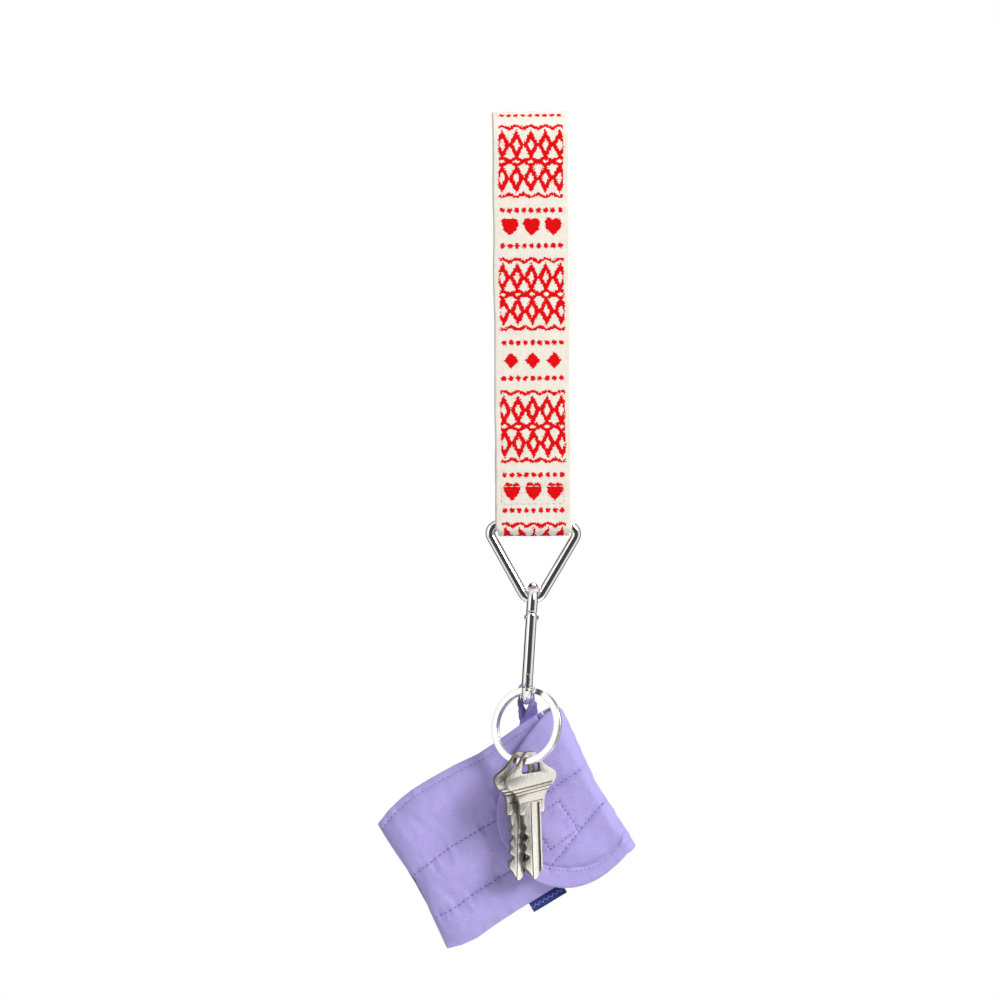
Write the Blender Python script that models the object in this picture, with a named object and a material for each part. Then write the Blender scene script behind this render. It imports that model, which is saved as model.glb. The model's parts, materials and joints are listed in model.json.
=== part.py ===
"""Wristlet keychain: a webbing hand loop, a triangle ring, a snap hook, a split ring with two keys,
and a small quilted pouch that hangs beside them.

Units are metres and +Z is up. The origin is the inside of the hand loop's top, where a hand or a
peg carries the whole chain, and the front faces -Y. Each sub-assembly is modelled in the frame of
its own empty, and that empty sits on the joint's axis.
"""

import math

import bmesh
import bpy
from mathutils import Matrix, Vector

MM = 0.001
GAP = 0.3 * MM

# Hand loop: one strip of webbing, round a hand at the top and round the triangle's bar below
STRAP_WIDTH = 32 * MM
STRAP_THICK = 1.6 * MM
STRAP_LEAN = math.radians(-0.4)
HAND_RADIUS = 9 * MM
BAR_DROP = 172.1 * MM
BAR_FOLD_RADIUS = 2.85 * MM
FOLD_NARROWS = 0.95 * MM
LAYER_PITCH = STRAP_THICK + GAP
TAIL_TOP = -153.5 * MM
TAIL_FLARE = -165.6 * MM
BACK_END = -163.6 * MM
BACK_JOIN = -150 * MM
STITCH_CENTRE = -159.3 * MM
ABOVE_STITCHES = -150 * MM
FREE_RUN = -146 * MM
FREE_EASE = 0.15 * MM
STITCH_LONG = 26 * MM
STITCH_TALL = 7.2 * MM
THREAD = 0.5 * MM
THREAD_GAP = 0.1 * MM

# Triangle ring
TRIANGLE_WIRE = 2.05 * MM
TRIANGLE_HALF = 18.0 * MM
TRIANGLE_TOP_RADIUS = 3.4 * MM
TRIANGLE_LOW_RADIUS = 4.9 * MM
TRIANGLE_HALF_ANGLE = math.radians(29.8)
TRIANGLE_LEAN = math.radians(0.7)

# Snap hook
HOOK_WIRE = 2.2 * MM
HOOK_LEAN = math.radians(3.57)
HOOK_LENGTH = 51.2 * MM
HOOK_TOP_RADIUS = 6.2 * MM
HOOK_LOW_RADIUS = 7.5 * MM
HOOK_LOW_FLAT = 1.5 * MM
RIVET_DROP = 14.4 * MM
GATE_ABOVE = 1.7 * MM
GATE_BELOW = 28.6 * MM
TONGUE_HALF = 0.7 * MM
SLOT_HALF = 0.95 * MM
RIVET_RADIUS = 0.6 * MM
RIVET_HOLE = 0.8 * MM
LATCH_ALONG = 26.1 * MM
LATCH_INWARD = 0.2 * MM
LATCH_RADIUS = 0.5 * MM
LATCH_HOLE = 0.75 * MM
SPRING_BORE = 1.2 * MM
SPRING_TOP = 6.0 * MM
SPRING_END = 14.2 * MM
SPRING_RADIUS = 0.8 * MM
SPRING_WIRE = 0.18 * MM
SPRING_TURNS = 7
FACET_TURN = math.radians(7)

# Split ring: two turns of flat wire
RING_OUTER = 16.4 * MM
RING_BROAD = 2.6 * MM
RING_LAYER = 1.25 * MM
RING_PITCH = 1.45 * MM
RING_FORWARD = 3.0 * MM
RING_YAW = math.radians(-31)
RING_LEAN = math.radians(-13)
RING_CROSS_START = math.radians(14)
RING_CROSS_END = math.radians(34)
RING_END_GAP = math.radians(2)

# Keys
KEY_THICK = 2.0 * MM
KEY_YAW = math.radians(30)
KEY_LEAN = math.radians(7)
KEY_STRUT = 1.9 * MM
KEY_PLAY = 0.8 * MM
FRONT_KEY_ALONG = 1.4 * MM
REAR_KEY_ALONG = -3.1 * MM
FRONT_KEY_ROLL = math.radians(-2.2)
REAR_KEY_ROLL = math.radians(1.6)

# Pouch, in its own frame: u runs towards the flap's fold, v up across, w to the front
POUCH_TURN = math.radians(-31)
POUCH_BACK = 11.0 * MM
POUCH_CORNER_X = 11.25 * MM
POUCH_CORNER_Z = -1.55 * MM
POUCH_END = -90.5 * MM
POUCH_TOP = -1.5 * MM
POUCH_LOW = -68.0 * MM
EDGE_HALF = 1.6 * MM
MIDDLE_HALF = 4.8 * MM
PUFF_RUN = 14 * MM
MOUTH = -9.0 * MM
FOLD_CENTRE = -6.0 * MM
FOLD_DEPTH = 7.6 * MM
SHELL_THICK = 0.5 * MM
PAD_THICK = 0.8 * MM
LINING_THICK = 0.3 * MM
PLY_GAP = 0.15 * MM
PANEL_THICK = SHELL_THICK + PAD_THICK + LINING_THICK + 2 * PLY_GAP
LINING_EDGE = 5.0 * MM
FLAP_LIFT = 1.3 * MM
FLAP_TIP = -48.3 * MM
PATCH_LEFT = -33.6 * MM
PATCH_RIGHT = -18.9 * MM
PATCH_TOP = -36.5 * MM
PATCH_LOW = -50.4 * MM
PATCH_THICK = 0.4 * MM
QUILT_LINES = (-30.2 * MM, -51.8 * MM)
LOOP_THICK = 0.9 * MM
LOOP_FRONT = 2.0 * MM
LOOP_BACK = 6.2 * MM
LABEL_LEFT = -52.7 * MM
LABEL_RIGHT = -36.4 * MM
LABEL_OUT = 4.4 * MM
LABEL_THICK = 0.8 * MM


# ---------------------------------------------------------------- scene and materials


def clear_scene():
    for obj in list(bpy.data.objects):
        bpy.data.objects.remove(obj, do_unlink=True)
    for mesh in list(bpy.data.meshes):
        bpy.data.meshes.remove(mesh)


def material(name, colour, roughness, metallic=0.0):
    made = bpy.data.materials.new(name)
    made.use_nodes = True
    shader = made.node_tree.nodes["Principled BSDF"]
    shader.inputs["Base Color"].default_value = (*colour, 1)
    shader.inputs["Roughness"].default_value = roughness
    shader.inputs["Metallic"].default_value = metallic
    made.diffuse_color = (*colour, 1)
    return made


def make_materials():
    return {
        "webbing": material("cream_webbing", (0.84, 0.80, 0.72), 0.85),
        "thread": material("cream_thread", (0.80, 0.76, 0.68), 0.8),
        "steel": material("polished_steel", (0.78, 0.78, 0.77), 0.16, 1.0),
        "spring": material("spring_steel", (0.55, 0.55, 0.54), 0.3, 1.0),
        "nickel": material("satin_nickel", (0.76, 0.73, 0.67), 0.33, 1.0),
        "nylon": material("lilac_nylon", (0.43, 0.38, 0.70), 0.55),
        "padding": material("white_wadding", (0.86, 0.86, 0.84), 0.95),
        "lining": material("violet_lining", (0.22, 0.16, 0.42), 0.7),
        "lilac_thread": material("lilac_thread", (0.60, 0.55, 0.80), 0.7),
        "patch": material("hook_and_loop", (0.36, 0.31, 0.58), 0.95),
        "label": material("navy_label", (0.02, 0.03, 0.16), 0.8),
    }


# ---------------------------------------------------------------- objects and frames


def frame(name, world, parent=None):
    """An empty on a joint's axis. Its world matrix is kept, so that children can be placed by it."""
    empty = bpy.data.objects.new(name, None)
    empty.empty_display_size = 5 * MM
    bpy.context.collection.objects.link(empty)
    empty.parent = parent[0] if parent else None
    empty.matrix_basis = (parent[1].inverted() @ world) if parent else world
    return empty, world


def add(name, bm, look, parent, smooth=False, place=None):
    """A named object from a bmesh, in its frame's coordinates, with every face turned outwards."""
    bmesh.ops.recalc_face_normals(bm, faces=bm.faces)
    mesh = bpy.data.meshes.new(name)
    bm.to_mesh(mesh)
    bm.free()
    if smooth:
        mesh.shade_smooth()
    if look:
        mesh.materials.append(look)
    obj = bpy.data.objects.new(name, mesh)
    bpy.context.collection.objects.link(obj)
    obj.parent = parent[0]
    if place is not None:
        obj.matrix_basis = place
    return obj


def combine(obj, operation, helper):
    """A Boolean with a helper object, which isn't drawn."""
    helper.hide_render = True
    helper.display_type = "WIRE"
    step = obj.modifiers.new(helper.name, "BOOLEAN")
    step.operation = operation
    step.object = helper


# ---------------------------------------------------------------- paths in a plane


def arc(centre, radius, start, end, step):
    count = max(2, math.ceil(abs(end - start) / step))
    angles = (start + (end - start) * i / count for i in range(count + 1))
    return [(centre[0] + radius * math.cos(a), centre[1] + radius * math.sin(a)) for a in angles]


def belt(circles, step=math.radians(15)):
    """The closed anticlockwise path of a belt round circles (a, b, radius), from the first one's far side."""
    count = len(circles)
    leaving = []
    for i in range(count):
        a0, b0, r0 = circles[i]
        a1, b1, r1 = circles[(i + 1) % count]
        along = math.atan2(b1 - b0, a1 - a0)
        leaving.append(along - math.acos((r0 - r1) / math.hypot(a1 - a0, b1 - b0)))
    points = []
    for i in range(1, count + 1):
        a, b, r = circles[i % count]
        start = leaving[i - 1]
        end = leaving[i % count]
        while end < start:
            end += 2 * math.pi
        points += arc((a, b), r, start, end, step)
    return points


def lengths(points):
    total = [0.0]
    for p, q in zip(points, points[1:]):
        total.append(total[-1] + math.dist(p, q))
    return total


def piece_of(points, start, end):
    """The part of a path between two distances along it."""
    total = lengths(points)

    def at(s):
        for i in range(len(points) - 1):
            if total[i + 1] >= s:
                t = (s - total[i]) / (total[i + 1] - total[i])
                return tuple(p + (q - p) * t for p, q in zip(points[i], points[i + 1]))
        return points[-1]

    inside = [p for p, s in zip(points, total) if start + 1e-6 < s < end - 1e-6]
    return [at(start), *inside, at(end)]


def bezier(p0, p1, p2, p3, count):
    made = []
    for i in range(count + 1):
        t = i / count
        w = ((1 - t) ** 3, 3 * t * (1 - t) ** 2, 3 * t * t * (1 - t), t**3)
        made.append(tuple(sum(k * p[n] for k, p in zip(w, (p0, p1, p2, p3))) for n in (0, 1)))
    return made


def smooth_path(points, count):
    """Points read from a Catmull-Rom curve through a few route points of any dimension."""
    ends = [points[0], *points, points[-1]]
    made = [tuple(points[0])]
    for i in range(len(points) - 1):
        p0, p1, p2, p3 = ends[i : i + 4]
        for k in range(1, count + 1):
            t = k / count
            made.append(
                tuple(
                    0.5 * (2 * b + (c - a) * t + (2 * a - 5 * b + 4 * c - d) * t * t
                           + (3 * b - a - 3 * c + d) * t**3)
                    for a, b, c, d in zip(p0, p1, p2, p3)
                )
            )
    return made


# ---------------------------------------------------------------- solids


def sweep(points, section, side, closed=False):
    """A solid swept along a 3-D path. A section's point is (across the path's plane, along side)."""
    bm = bmesh.new()
    points = [Vector(p) for p in points]
    side = Vector(side).normalized()
    last = len(points) - 1
    rings = []
    for i, p in enumerate(points):
        before = points[i - 1] if i or closed else p
        after = points[(i + 1) % len(points)] if i < last or closed else p
        across = (after - before).normalized().cross(side).normalized()
        rings.append([bm.verts.new(p + across * a + side * b) for a, b in section])
    count = len(section)
    for i in range(len(points) if closed else last):
        here, there = rings[i], rings[(i + 1) % len(points)]
        for k in range(count):
            n = (k + 1) % count
            bm.faces.new((here[k], here[n], there[n], there[k]))
    if not closed:
        bm.faces.new(rings[0])
        bm.faces.new(rings[-1][::-1])
    return bm


def round_section(radius, sides):
    return [
        (radius * math.cos(2 * math.pi * k / sides), radius * math.sin(2 * math.pi * k / sides))
        for k in range(sides)
    ]


def flat_section(thick, wide):
    return [(-thick / 2, -wide / 2), (thick / 2, -wide / 2), (thick / 2, wide / 2), (-thick / 2, wide / 2)]


def eased_section(thick, wide, ease):
    """A rectangle with its corners cut off."""
    a, b = thick / 2, wide / 2
    return [(-a + ease, -b), (a - ease, -b), (a, -b + ease), (a, b - ease),
            (a - ease, b), (-a + ease, b), (-a, b - ease), (-a, -b + ease)]


def prism(outline, low, high, axes):
    """An outline of (a, b) points, extruded from low to high. axes are the three directions."""
    bm = bmesh.new()
    a, b, c = (Vector(x) for x in axes)
    floor = [bm.verts.new(a * p + b * q + c * low) for p, q in outline]
    roof = [bm.verts.new(a * p + b * q + c * high) for p, q in outline]
    bm.faces.new(floor)
    bm.faces.new(roof[::-1])
    for i in range(len(outline)):
        n = (i + 1) % len(outline)
        bm.faces.new((floor[i], floor[n], roof[n], roof[i]))
    return bm


def lathe(profile, sides, axis, across, origin=(0, 0, 0)):
    """A solid turned about an axis. The profile's points are (along, radius), with radius 0 at both ends."""
    bm = bmesh.new()
    axis, across, origin = Vector(axis), Vector(across), Vector(origin)
    third = axis.cross(across)
    rings = []
    for along, radius in profile:
        at = origin + axis * along
        if radius == 0:
            rings.append([bm.verts.new(at)])
            continue
        rings.append(
            [bm.verts.new(at + across * a + third * b) for a, b in round_section(radius, sides)]
        )
    for here, there in zip(rings, rings[1:]):
        for k in range(sides):
            n = (k + 1) % sides
            if len(here) == 1:
                bm.faces.new((here[0], there[k], there[n]))
            elif len(there) == 1:
                bm.faces.new((here[k], here[n], there[0]))
            else:
                bm.faces.new((here[k], here[n], there[n], there[k]))
    return bm


def rod(radius, start, end, sides, axis, across, origin=(0, 0, 0)):
    return lathe([(start, 0), (start, radius), (end, radius), (end, 0)], sides, axis, across, origin)


def sheet(outer, inner):
    """A closed sheet between two grids of points, given as rows of equal length."""
    bm = bmesh.new()
    top = [[bm.verts.new(p) for p in row] for row in outer]
    low = [[bm.verts.new(p) for p in row] for row in inner]
    rows, columns = len(top), len(top[0])
    for i in range(rows - 1):
        for k in range(columns - 1):
            bm.faces.new((top[i][k], top[i][k + 1], top[i + 1][k + 1], top[i + 1][k]))
            bm.faces.new((low[i][k], low[i + 1][k], low[i + 1][k + 1], low[i][k + 1]))
    rim = [(0, k) for k in range(columns)]
    rim += [(i, columns - 1) for i in range(1, rows)]
    rim += [(rows - 1, k) for k in range(columns - 2, -1, -1)]
    rim += [(i, 0) for i in range(rows - 2, 0, -1)]
    for (i, k), (m, n) in zip(rim, rim[1:] + rim[:1]):
        bm.faces.new((top[i][k], low[i][k], low[m][n], top[m][n]))
    return bm


def box(low, high):
    outline = [(low[0], low[1]), (high[0], low[1]), (high[0], high[1]), (low[0], high[1])]
    return prism(outline, low[2], high[2], ((1, 0, 0), (0, 1, 0), (0, 0, 1)))


# ---------------------------------------------------------------- hand loop


def front_layer_y(z):
    """The middle of the front layer of webbing: a straight run from the bar to the hand."""
    low = BAR_FOLD_RADIUS + STRAP_THICK / 2
    high = HAND_RADIUS + STRAP_THICK / 2
    tilt = math.asin((high - low) / (BAR_DROP - HAND_RADIUS))
    return -low / math.cos(tilt) - (z + BAR_DROP) * math.tan(tilt)


def strap_path():
    """The strip's middle in the Y-Z plane, from the folded-up tail, round the bar, up, over and down."""
    hand = HAND_RADIUS + STRAP_THICK / 2
    fold = BAR_FOLD_RADIUS + STRAP_THICK / 2
    tilt = math.asin((hand - fold) / (BAR_DROP - HAND_RADIUS))
    slope = math.tan(tilt)
    tail = [(front_layer_y(TAIL_TOP) + LAYER_PITCH, TAIL_TOP)]
    bend = (front_layer_y(TAIL_FLARE) + LAYER_PITCH, TAIL_FLARE)
    meet_angle = math.radians(22)
    meet = (fold * math.cos(meet_angle), -BAR_DROP + fold * math.sin(meet_angle))
    pull = 2.6 * MM
    flare = bezier(
        bend,
        (bend[0] + slope * pull, bend[1] - pull),
        (meet[0] - math.sin(meet_angle) * pull, meet[1] + math.cos(meet_angle) * pull),
        meet,
        7,
    )
    round_bar = arc((0, -BAR_DROP), fold, meet_angle, -math.pi + tilt, math.radians(15))
    over_hand = arc((0, -HAND_RADIUS), hand, math.pi + tilt, -tilt / 2, math.radians(12))
    join = (front_layer_y(BACK_JOIN) + 2 * LAYER_PITCH, BACK_JOIN)
    end = (front_layer_y(BACK_END) + 2 * LAYER_PITCH, BACK_END)
    start = over_hand[-1]
    down = bezier(
        start,
        (start[0] - 1.0 * MM, start[1] - 45 * MM),
        (join[0] - slope * 60 * MM, join[1] + 60 * MM),
        join,
        16,
    )
    # the front layer springs forward a little once it is clear of the stitched overlap
    clear = [(front_layer_y(ABOVE_STITCHES), ABOVE_STITCHES)]
    free = [(front_layer_y(FREE_RUN) - FREE_EASE, FREE_RUN)]
    return tail + flare + round_bar[1:] + clear + free + over_hand + down[1:] + [end]


def stitch_frame(look, parent, name, face_y, outward):
    """A rectangle of thread lying on one face of the strap."""
    half, tall = STITCH_LONG / 2, STITCH_TALL / 2
    corner = 0.8 * MM
    circles = [(half - corner, tall - corner, corner), (corner - half, tall - corner, corner),
               (corner - half, corner - tall, corner), (half - corner, corner - tall, corner)]
    slope = (front_layer_y(0) - front_layer_y(-BAR_DROP)) / BAR_DROP
    lift = THREAD / 2 + THREAD_GAP
    points = [
        (x, face_y + slope * z + outward * lift, STITCH_CENTRE + z)
        for x, z in belt(circles, math.radians(30))
    ]
    add(name, sweep(points, flat_section(THREAD, THREAD), (0, 1, 0), closed=True), look, parent)


def make_strap(looks, parent):
    points = [(0, y, z) for y, z in strap_path()]
    section = flat_section(STRAP_THICK, STRAP_WIDTH)
    bm = sweep(points, section, (1, 0, 0))
    for vert in bm.verts:
        under = min(max((-BAR_DROP - 1.2 * MM - vert.co.z) / (1.4 * MM), 0), 1)
        vert.co.x -= math.copysign(FOLD_NARROWS * under, vert.co.x)
    add("strap_webbing", bm, looks["webbing"], parent)
    front = front_layer_y(STITCH_CENTRE) - STRAP_THICK / 2
    back = front_layer_y(STITCH_CENTRE) + 2 * LAYER_PITCH + STRAP_THICK / 2
    stitch_frame(looks["thread"], parent, "box_stitch_front", front, -1)
    stitch_frame(looks["thread"], parent, "box_stitch_back", back, 1)


# ---------------------------------------------------------------- triangle ring


def triangle_circles():
    """The centre line's three rounded corners, from the middle of the top bar."""
    s, c = math.sin(TRIANGLE_HALF_ANGLE), math.cos(TRIANGLE_HALF_ANGLE)
    inset = TRIANGLE_HALF - TRIANGLE_TOP_RADIUS
    sharp = inset + TRIANGLE_TOP_RADIUS * (1 + s) / c
    apex = -sharp / math.tan(TRIANGLE_HALF_ANGLE)
    return [
        (inset, -TRIANGLE_TOP_RADIUS, TRIANGLE_TOP_RADIUS),
        (-inset, -TRIANGLE_TOP_RADIUS, TRIANGLE_TOP_RADIUS),
        (0, apex + TRIANGLE_LOW_RADIUS / s, TRIANGLE_LOW_RADIUS),
    ]


def triangle_depth():
    _, centre, radius = triangle_circles()[2]
    return centre - radius


def make_triangle(looks, parent):
    path = belt(triangle_circles(), math.radians(17))
    points = [(x, 0, z) for x, z in path]
    bm = sweep(points, round_section(TRIANGLE_WIRE, 10), (0, 1, 0), closed=True)
    add("triangle_ring", bm, looks["steel"], parent, smooth=True)


# ---------------------------------------------------------------- snap hook


def hook_top():
    """The height of the hook's outer top above the triangle's wire, which it hangs on."""
    return TRIANGLE_WIRE + GAP + 2 * HOOK_WIRE


def hook_circles():
    top = hook_top() - HOOK_WIRE - HOOK_TOP_RADIUS
    low = hook_top() - HOOK_LENGTH + HOOK_WIRE + HOOK_LOW_RADIUS
    return [
        (0, top, HOOK_TOP_RADIUS),
        (-HOOK_LOW_FLAT, low, HOOK_LOW_RADIUS),
        (HOOK_LOW_FLAT, low, HOOK_LOW_RADIUS),
    ]


def hook_path():
    """The wire's centre line in (y, z), closed, from the top of the gate's straight run."""
    path = belt(hook_circles(), math.radians(12))
    return path[-1:] + path


def gate_tilt():
    """The gate's run leans out by this angle towards the hook's wider end."""
    (_, z0, r0), (y1, z1, r1) = hook_circles()[:2]
    along = math.atan2(z1 - z0, y1)
    normal = along - math.acos((r0 - r1) / math.hypot(y1, z1 - z0))
    return math.pi + normal if normal < 0 else normal - math.pi


def rivet_distance():
    """How far the rivet is along the hook's path."""
    top = hook_path()[0]
    return (top[1] - (hook_top() - RIVET_DROP)) / math.cos(gate_tilt())


def gate_world(hook_world):
    y, z = piece_of(hook_path(), 0, rivet_distance())[-1]
    return hook_world @ Matrix.Translation((0, y, z)) @ Matrix.Rotation(gate_tilt(), 4, "X")


def tongue(outline, name, parent):
    """A flat tongue in the gate's plane. The outline's points are (along the gate, out to the front)."""
    points = [(-out, -along) for along, out in outline]
    bm = prism(points, -TONGUE_HALF, TONGUE_HALF, ((0, 1, 0), (0, 0, 1), (1, 0, 0)))
    return add(name, bm, None, parent)


def make_hook_body(looks, parent, gate_frame):
    rivet = rivet_distance()
    path = hook_path()
    total = lengths(path)[-1]
    twice = path + path[1:]
    start = rivet + GATE_BELOW - 1 * MM
    end = total + rivet - GATE_ABOVE - GAP
    points = [(0, y, z) for y, z in piece_of(twice, start, end)]
    bm = sweep(points, round_section(HOOK_WIRE, 12), (1, 0, 0))
    body = add("carabiner_body", bm, looks["steel"], parent, smooth=True)
    slant = prism(
        [(-2.4 * MM, -2.0 * MM), (-2.4 * MM, 0), (2.6 * MM, 0), (2.6 * MM, -3.6 * MM)],
        -3 * MM, 3 * MM, ((0, 1, 0), (0, 0, -1), (1, 0, 0)),
    )
    combine(body, "DIFFERENCE", add("hinge_end_relief", slant, None, gate_frame))
    square = box((-3 * MM, -3 * MM, -GATE_BELOW - GAP), (3 * MM, 3 * MM, -GATE_BELOW + 3 * MM))
    combine(body, "DIFFERENCE", add("nose_end_cut", square, None, gate_frame))
    hinge = [(-5.5, -1.3), (1.7, -1.3), (1.7, -0.1), (1.35, 0.6), (0.8, 1.15), (0.0, 1.4), (-5.5, 1.4)]
    combine(body, "UNION", tongue([(a * MM, b * MM) for a, b in hinge], "hinge_tongue", gate_frame))
    nose = [(30.0, 0.65), (25.0, 0.65), (25.0, -1.3), (23.9, -1.3), (23.9, 1.7), (30.0, 1.7)]
    combine(body, "UNION", tongue([(a * MM, b * MM) for a, b in nose], "nose_tongue", gate_frame))
    hole = rod(RIVET_HOLE, -3 * MM, 3 * MM, 12, (1, 0, 0), (0, 1, 0))
    combine(body, "DIFFERENCE", add("tongue_hole", hole, None, gate_frame))


def make_gate(looks, parent):
    aside = (math.cos(FACET_TURN), math.sin(FACET_TURN), 0)
    bm = rod(HOOK_WIRE, -GATE_ABOVE, GATE_BELOW, 16, (0, 0, -1), aside)
    gate = add("carabiner_gate", bm, looks["steel"], parent, smooth=True)
    slot = box((-SLOT_HALF, -1.7 * MM, -3.2 * MM), (SLOT_HALF, 3 * MM, 3 * MM))
    nose = box((-SLOT_HALF, -3 * MM, -GATE_BELOW - 1 * MM), (SLOT_HALF, 3 * MM, -23.6 * MM))
    bore = rod(SPRING_BORE, 1.8 * MM, 14.5 * MM, 10, (0, 0, -1), (1, 0, 0))
    upward = (0, math.sin(FACET_TURN), math.cos(FACET_TURN))
    rivet = rod(RIVET_HOLE, -3 * MM, 3 * MM, 12, (1, 0, 0), upward)
    latch = (0, LATCH_INWARD, -LATCH_ALONG)
    pin = rod(LATCH_HOLE, -3 * MM, 3 * MM, 10, (1, 0, 0), upward, latch)
    for name, cut in (("hinge_slot", slot), ("nose_slot", nose), ("spring_bore", bore),
                      ("rivet_hole", rivet), ("latch_hole", pin)):
        combine(gate, "DIFFERENCE", add(name, cut, None, parent))
    head, shank = 3.0 * MM, HOOK_WIRE + 0.25 * MM
    profile = [(-head, 0), (-head, 0.7 * MM), (-head + 0.25 * MM, 1.1 * MM), (-shank, 1.1 * MM),
               (-shank, RIVET_RADIUS), (shank, RIVET_RADIUS), (shank, 1.1 * MM),
               (head - 0.25 * MM, 1.1 * MM), (head, 0.7 * MM), (head, 0)]
    bm = lathe(profile, 12, (1, 0, 0), (0, 1, 0))
    add("gate_rivet", bm, looks["steel"], parent, smooth=True)
    bm = rod(LATCH_RADIUS, -2.0 * MM, 2.0 * MM, 12, (1, 0, 0), (0, 1, 0), latch)
    add("gate_latch_pin", bm, looks["steel"], parent, smooth=True)


def make_gate_spring(looks, parent):
    steps = 10 * SPRING_TURNS
    fall = (SPRING_END - SPRING_TOP) / steps
    points = [
        (SPRING_RADIUS * math.cos(k * math.pi / 5), SPRING_RADIUS * math.sin(k * math.pi / 5),
         -SPRING_TOP - k * fall)
        for k in range(steps + 1)
    ]
    bm = sweep(points, round_section(SPRING_WIRE, 5), (0, 0, 1))
    add("gate_spring", bm, looks["spring"], parent, smooth=True)


def make_plunger(looks, parent):
    along = [(2.0, 0), (2.0, 0.7), (2.3, 0.95), (5.6, 0.95), (5.6, 0.45), (8.2, 0.45), (8.2, 0)]
    bm = lathe([(a * MM, r * MM) for a, r in along], 12, (0, 0, -1), (1, 0, 0))
    add("gate_plunger", bm, looks["spring"], parent, smooth=True)


# ---------------------------------------------------------------- split ring


def ring_drop():
    """The ring's centre hangs this far under the middle of the hook's wire."""
    return RING_OUTER - RING_BROAD - HOOK_WIRE - GAP


def ring_point(turned, layer):
    """A point on the ring's middle line, an angle clockwise from the top as seen from the front."""
    radius = RING_OUTER - RING_BROAD / 2
    return (radius * math.sin(turned), layer, radius * math.cos(turned) - ring_drop())


def make_split_ring(looks, parent):
    start = RING_CROSS_END + RING_END_GAP
    end = RING_CROSS_START - RING_END_GAP + 4 * math.pi
    crossing = RING_CROSS_START + 2 * math.pi
    run = RING_CROSS_END - RING_CROSS_START
    steps = 84
    points = []
    for k in range(steps + 1):
        turned = start + (end - start) * k / steps
        t = min(max((turned - crossing) / run, 0), 1)
        layer = RING_PITCH * (t * t * (3 - 2 * t) - 0.5)
        points.append(ring_point(turned, layer))
    section = eased_section(RING_BROAD, RING_LAYER, 0.2 * MM)
    add("split_ring", sweep(points, section, (0, 1, 0)), looks["steel"], parent)


# ---------------------------------------------------------------- keys


def key_outline():
    """Right half from the top to the tip, then the cut left edge back up, as (x, z) in millimetres."""
    right = [(2.3, 0), (6.3, -5.8), (11.2, -9.0), (12.1, -10.2), (12.1, -12.2), (10.4, -15.0), (7.6, -16.4),
             (6.0, -20.6), (5.8, -26.1), (4.2, -26.1), (4.2, -50.6), (1.0, -54.4)]
    cuts = [(31.6, 1.2), (35.9, 2.1), (40.2, 1.1), (44.6, 2.3)]
    left = [(-0.2, -54.4), (-2.6, -50.4), (-3.9, -48.9)]
    for depth_at, depth in reversed(cuts):
        left += [(-4.2 + 0.25, -depth_at - 1.9), (-4.2 + depth, -depth_at - 0.5),
                 (-4.2 + depth, -depth_at + 0.5), (-4.2 + 0.25, -depth_at + 1.9)]
    left += [(-4.2, -26.1), (-5.8, -26.1)]
    left += [(-x, z) for x, z in right[:8][::-1]]
    return right + left


def make_key(name, looks, parent, place):
    """A flat key, with its top at the origin and its front facing -Y."""
    axes = ((1, 0, 0), (0, 0, 1), (0, 1, 0))
    half = KEY_THICK / 2
    outline = [(x * MM, z * MM) for x, z in key_outline()]
    key = add(name, prism(outline, -half, half, axes), looks["nickel"], parent, place=place)
    strut = KEY_STRUT / MM
    hole = [(-3.2, -strut), (3.2, -strut), (3.7, -strut - 0.6), (4.5, -8.2), (4.1, -8.9), (-4.1, -8.9),
            (-4.5, -8.2), (-3.7, -strut - 0.6)]
    cut = prism([(x * MM, z * MM) for x, z in hole], -2 * half, 2 * half, axes)
    combine(key, "DIFFERENCE", add(name + "_hole", cut, None, parent, place=place))
    grooves = (("_groove_a", -0.5, 1.6, -1), ("_groove_b", 2.3, 3.4, -1), ("_groove_c", -1.6, 0.4, 1))
    for suffix, x0, x1, side in grooves:
        deep = half - 0.55 * MM
        low, high = (deep, 2 * half) if side > 0 else (-2 * half, -deep)
        cut = box((x0 * MM, low, -56 * MM), (x1 * MM, high, -22.5 * MM))
        combine(key, "DIFFERENCE", add(name + suffix, cut, None, parent, place=place))


def key_place(along, roll, depth_turn):
    """Where a key hangs in its slide frame, whose origin is the ring's centre."""
    inner = RING_OUTER - RING_BROAD
    turned = math.pi - along / inner
    touch = Vector((inner * math.sin(turned), 0, inner * math.cos(turned)))
    top = touch + Vector((0, 0, KEY_PLAY + KEY_STRUT))
    return Matrix.Translation(top) @ depth_turn @ Matrix.Rotation(roll, 4, "Y")


# ---------------------------------------------------------------- pouch


def half_thick(v):
    """Half the pouch's thickness, from a thin sewn edge to a level middle."""
    inward = min(POUCH_TOP - v, v - POUCH_LOW)
    t = min(max(inward / PUFF_RUN, 0), 1)
    return EDGE_HALF + (MIDDLE_HALF - EDGE_HALF) * (1 - (1 - t) ** 2.4)


def across_rows(edge):
    """Positions across the pouch, closest together where its thickness changes fastest."""
    steps = [0, 1.5, 3.2, 5.5, 8.5, 14]
    top = [POUCH_TOP - edge - s * MM * (1 - edge / PUFF_RUN) for s in steps]
    return top + [POUCH_TOP + POUCH_LOW - v for v in reversed(top)]


def wrap_row(v, depth):
    """One row of points round the pouch at a depth under its surface: front, closed end, back."""
    half = half_thick(v) - depth
    run = min(7 * MM, 1.4 * half_thick(v))
    turn = POUCH_END + run
    row = [(MOUTH, half), (-45 * MM, half), (turn, half)]
    for k in range(1, 8):
        a = math.pi * k / 8
        row.append((turn - (run - depth) * math.sin(a), half * math.cos(a)))
    row += [(turn, -half), (-45 * MM, -half), (FOLD_CENTRE - GAP, -half)]
    return [(u, v, w) for u, w in row]


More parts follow.
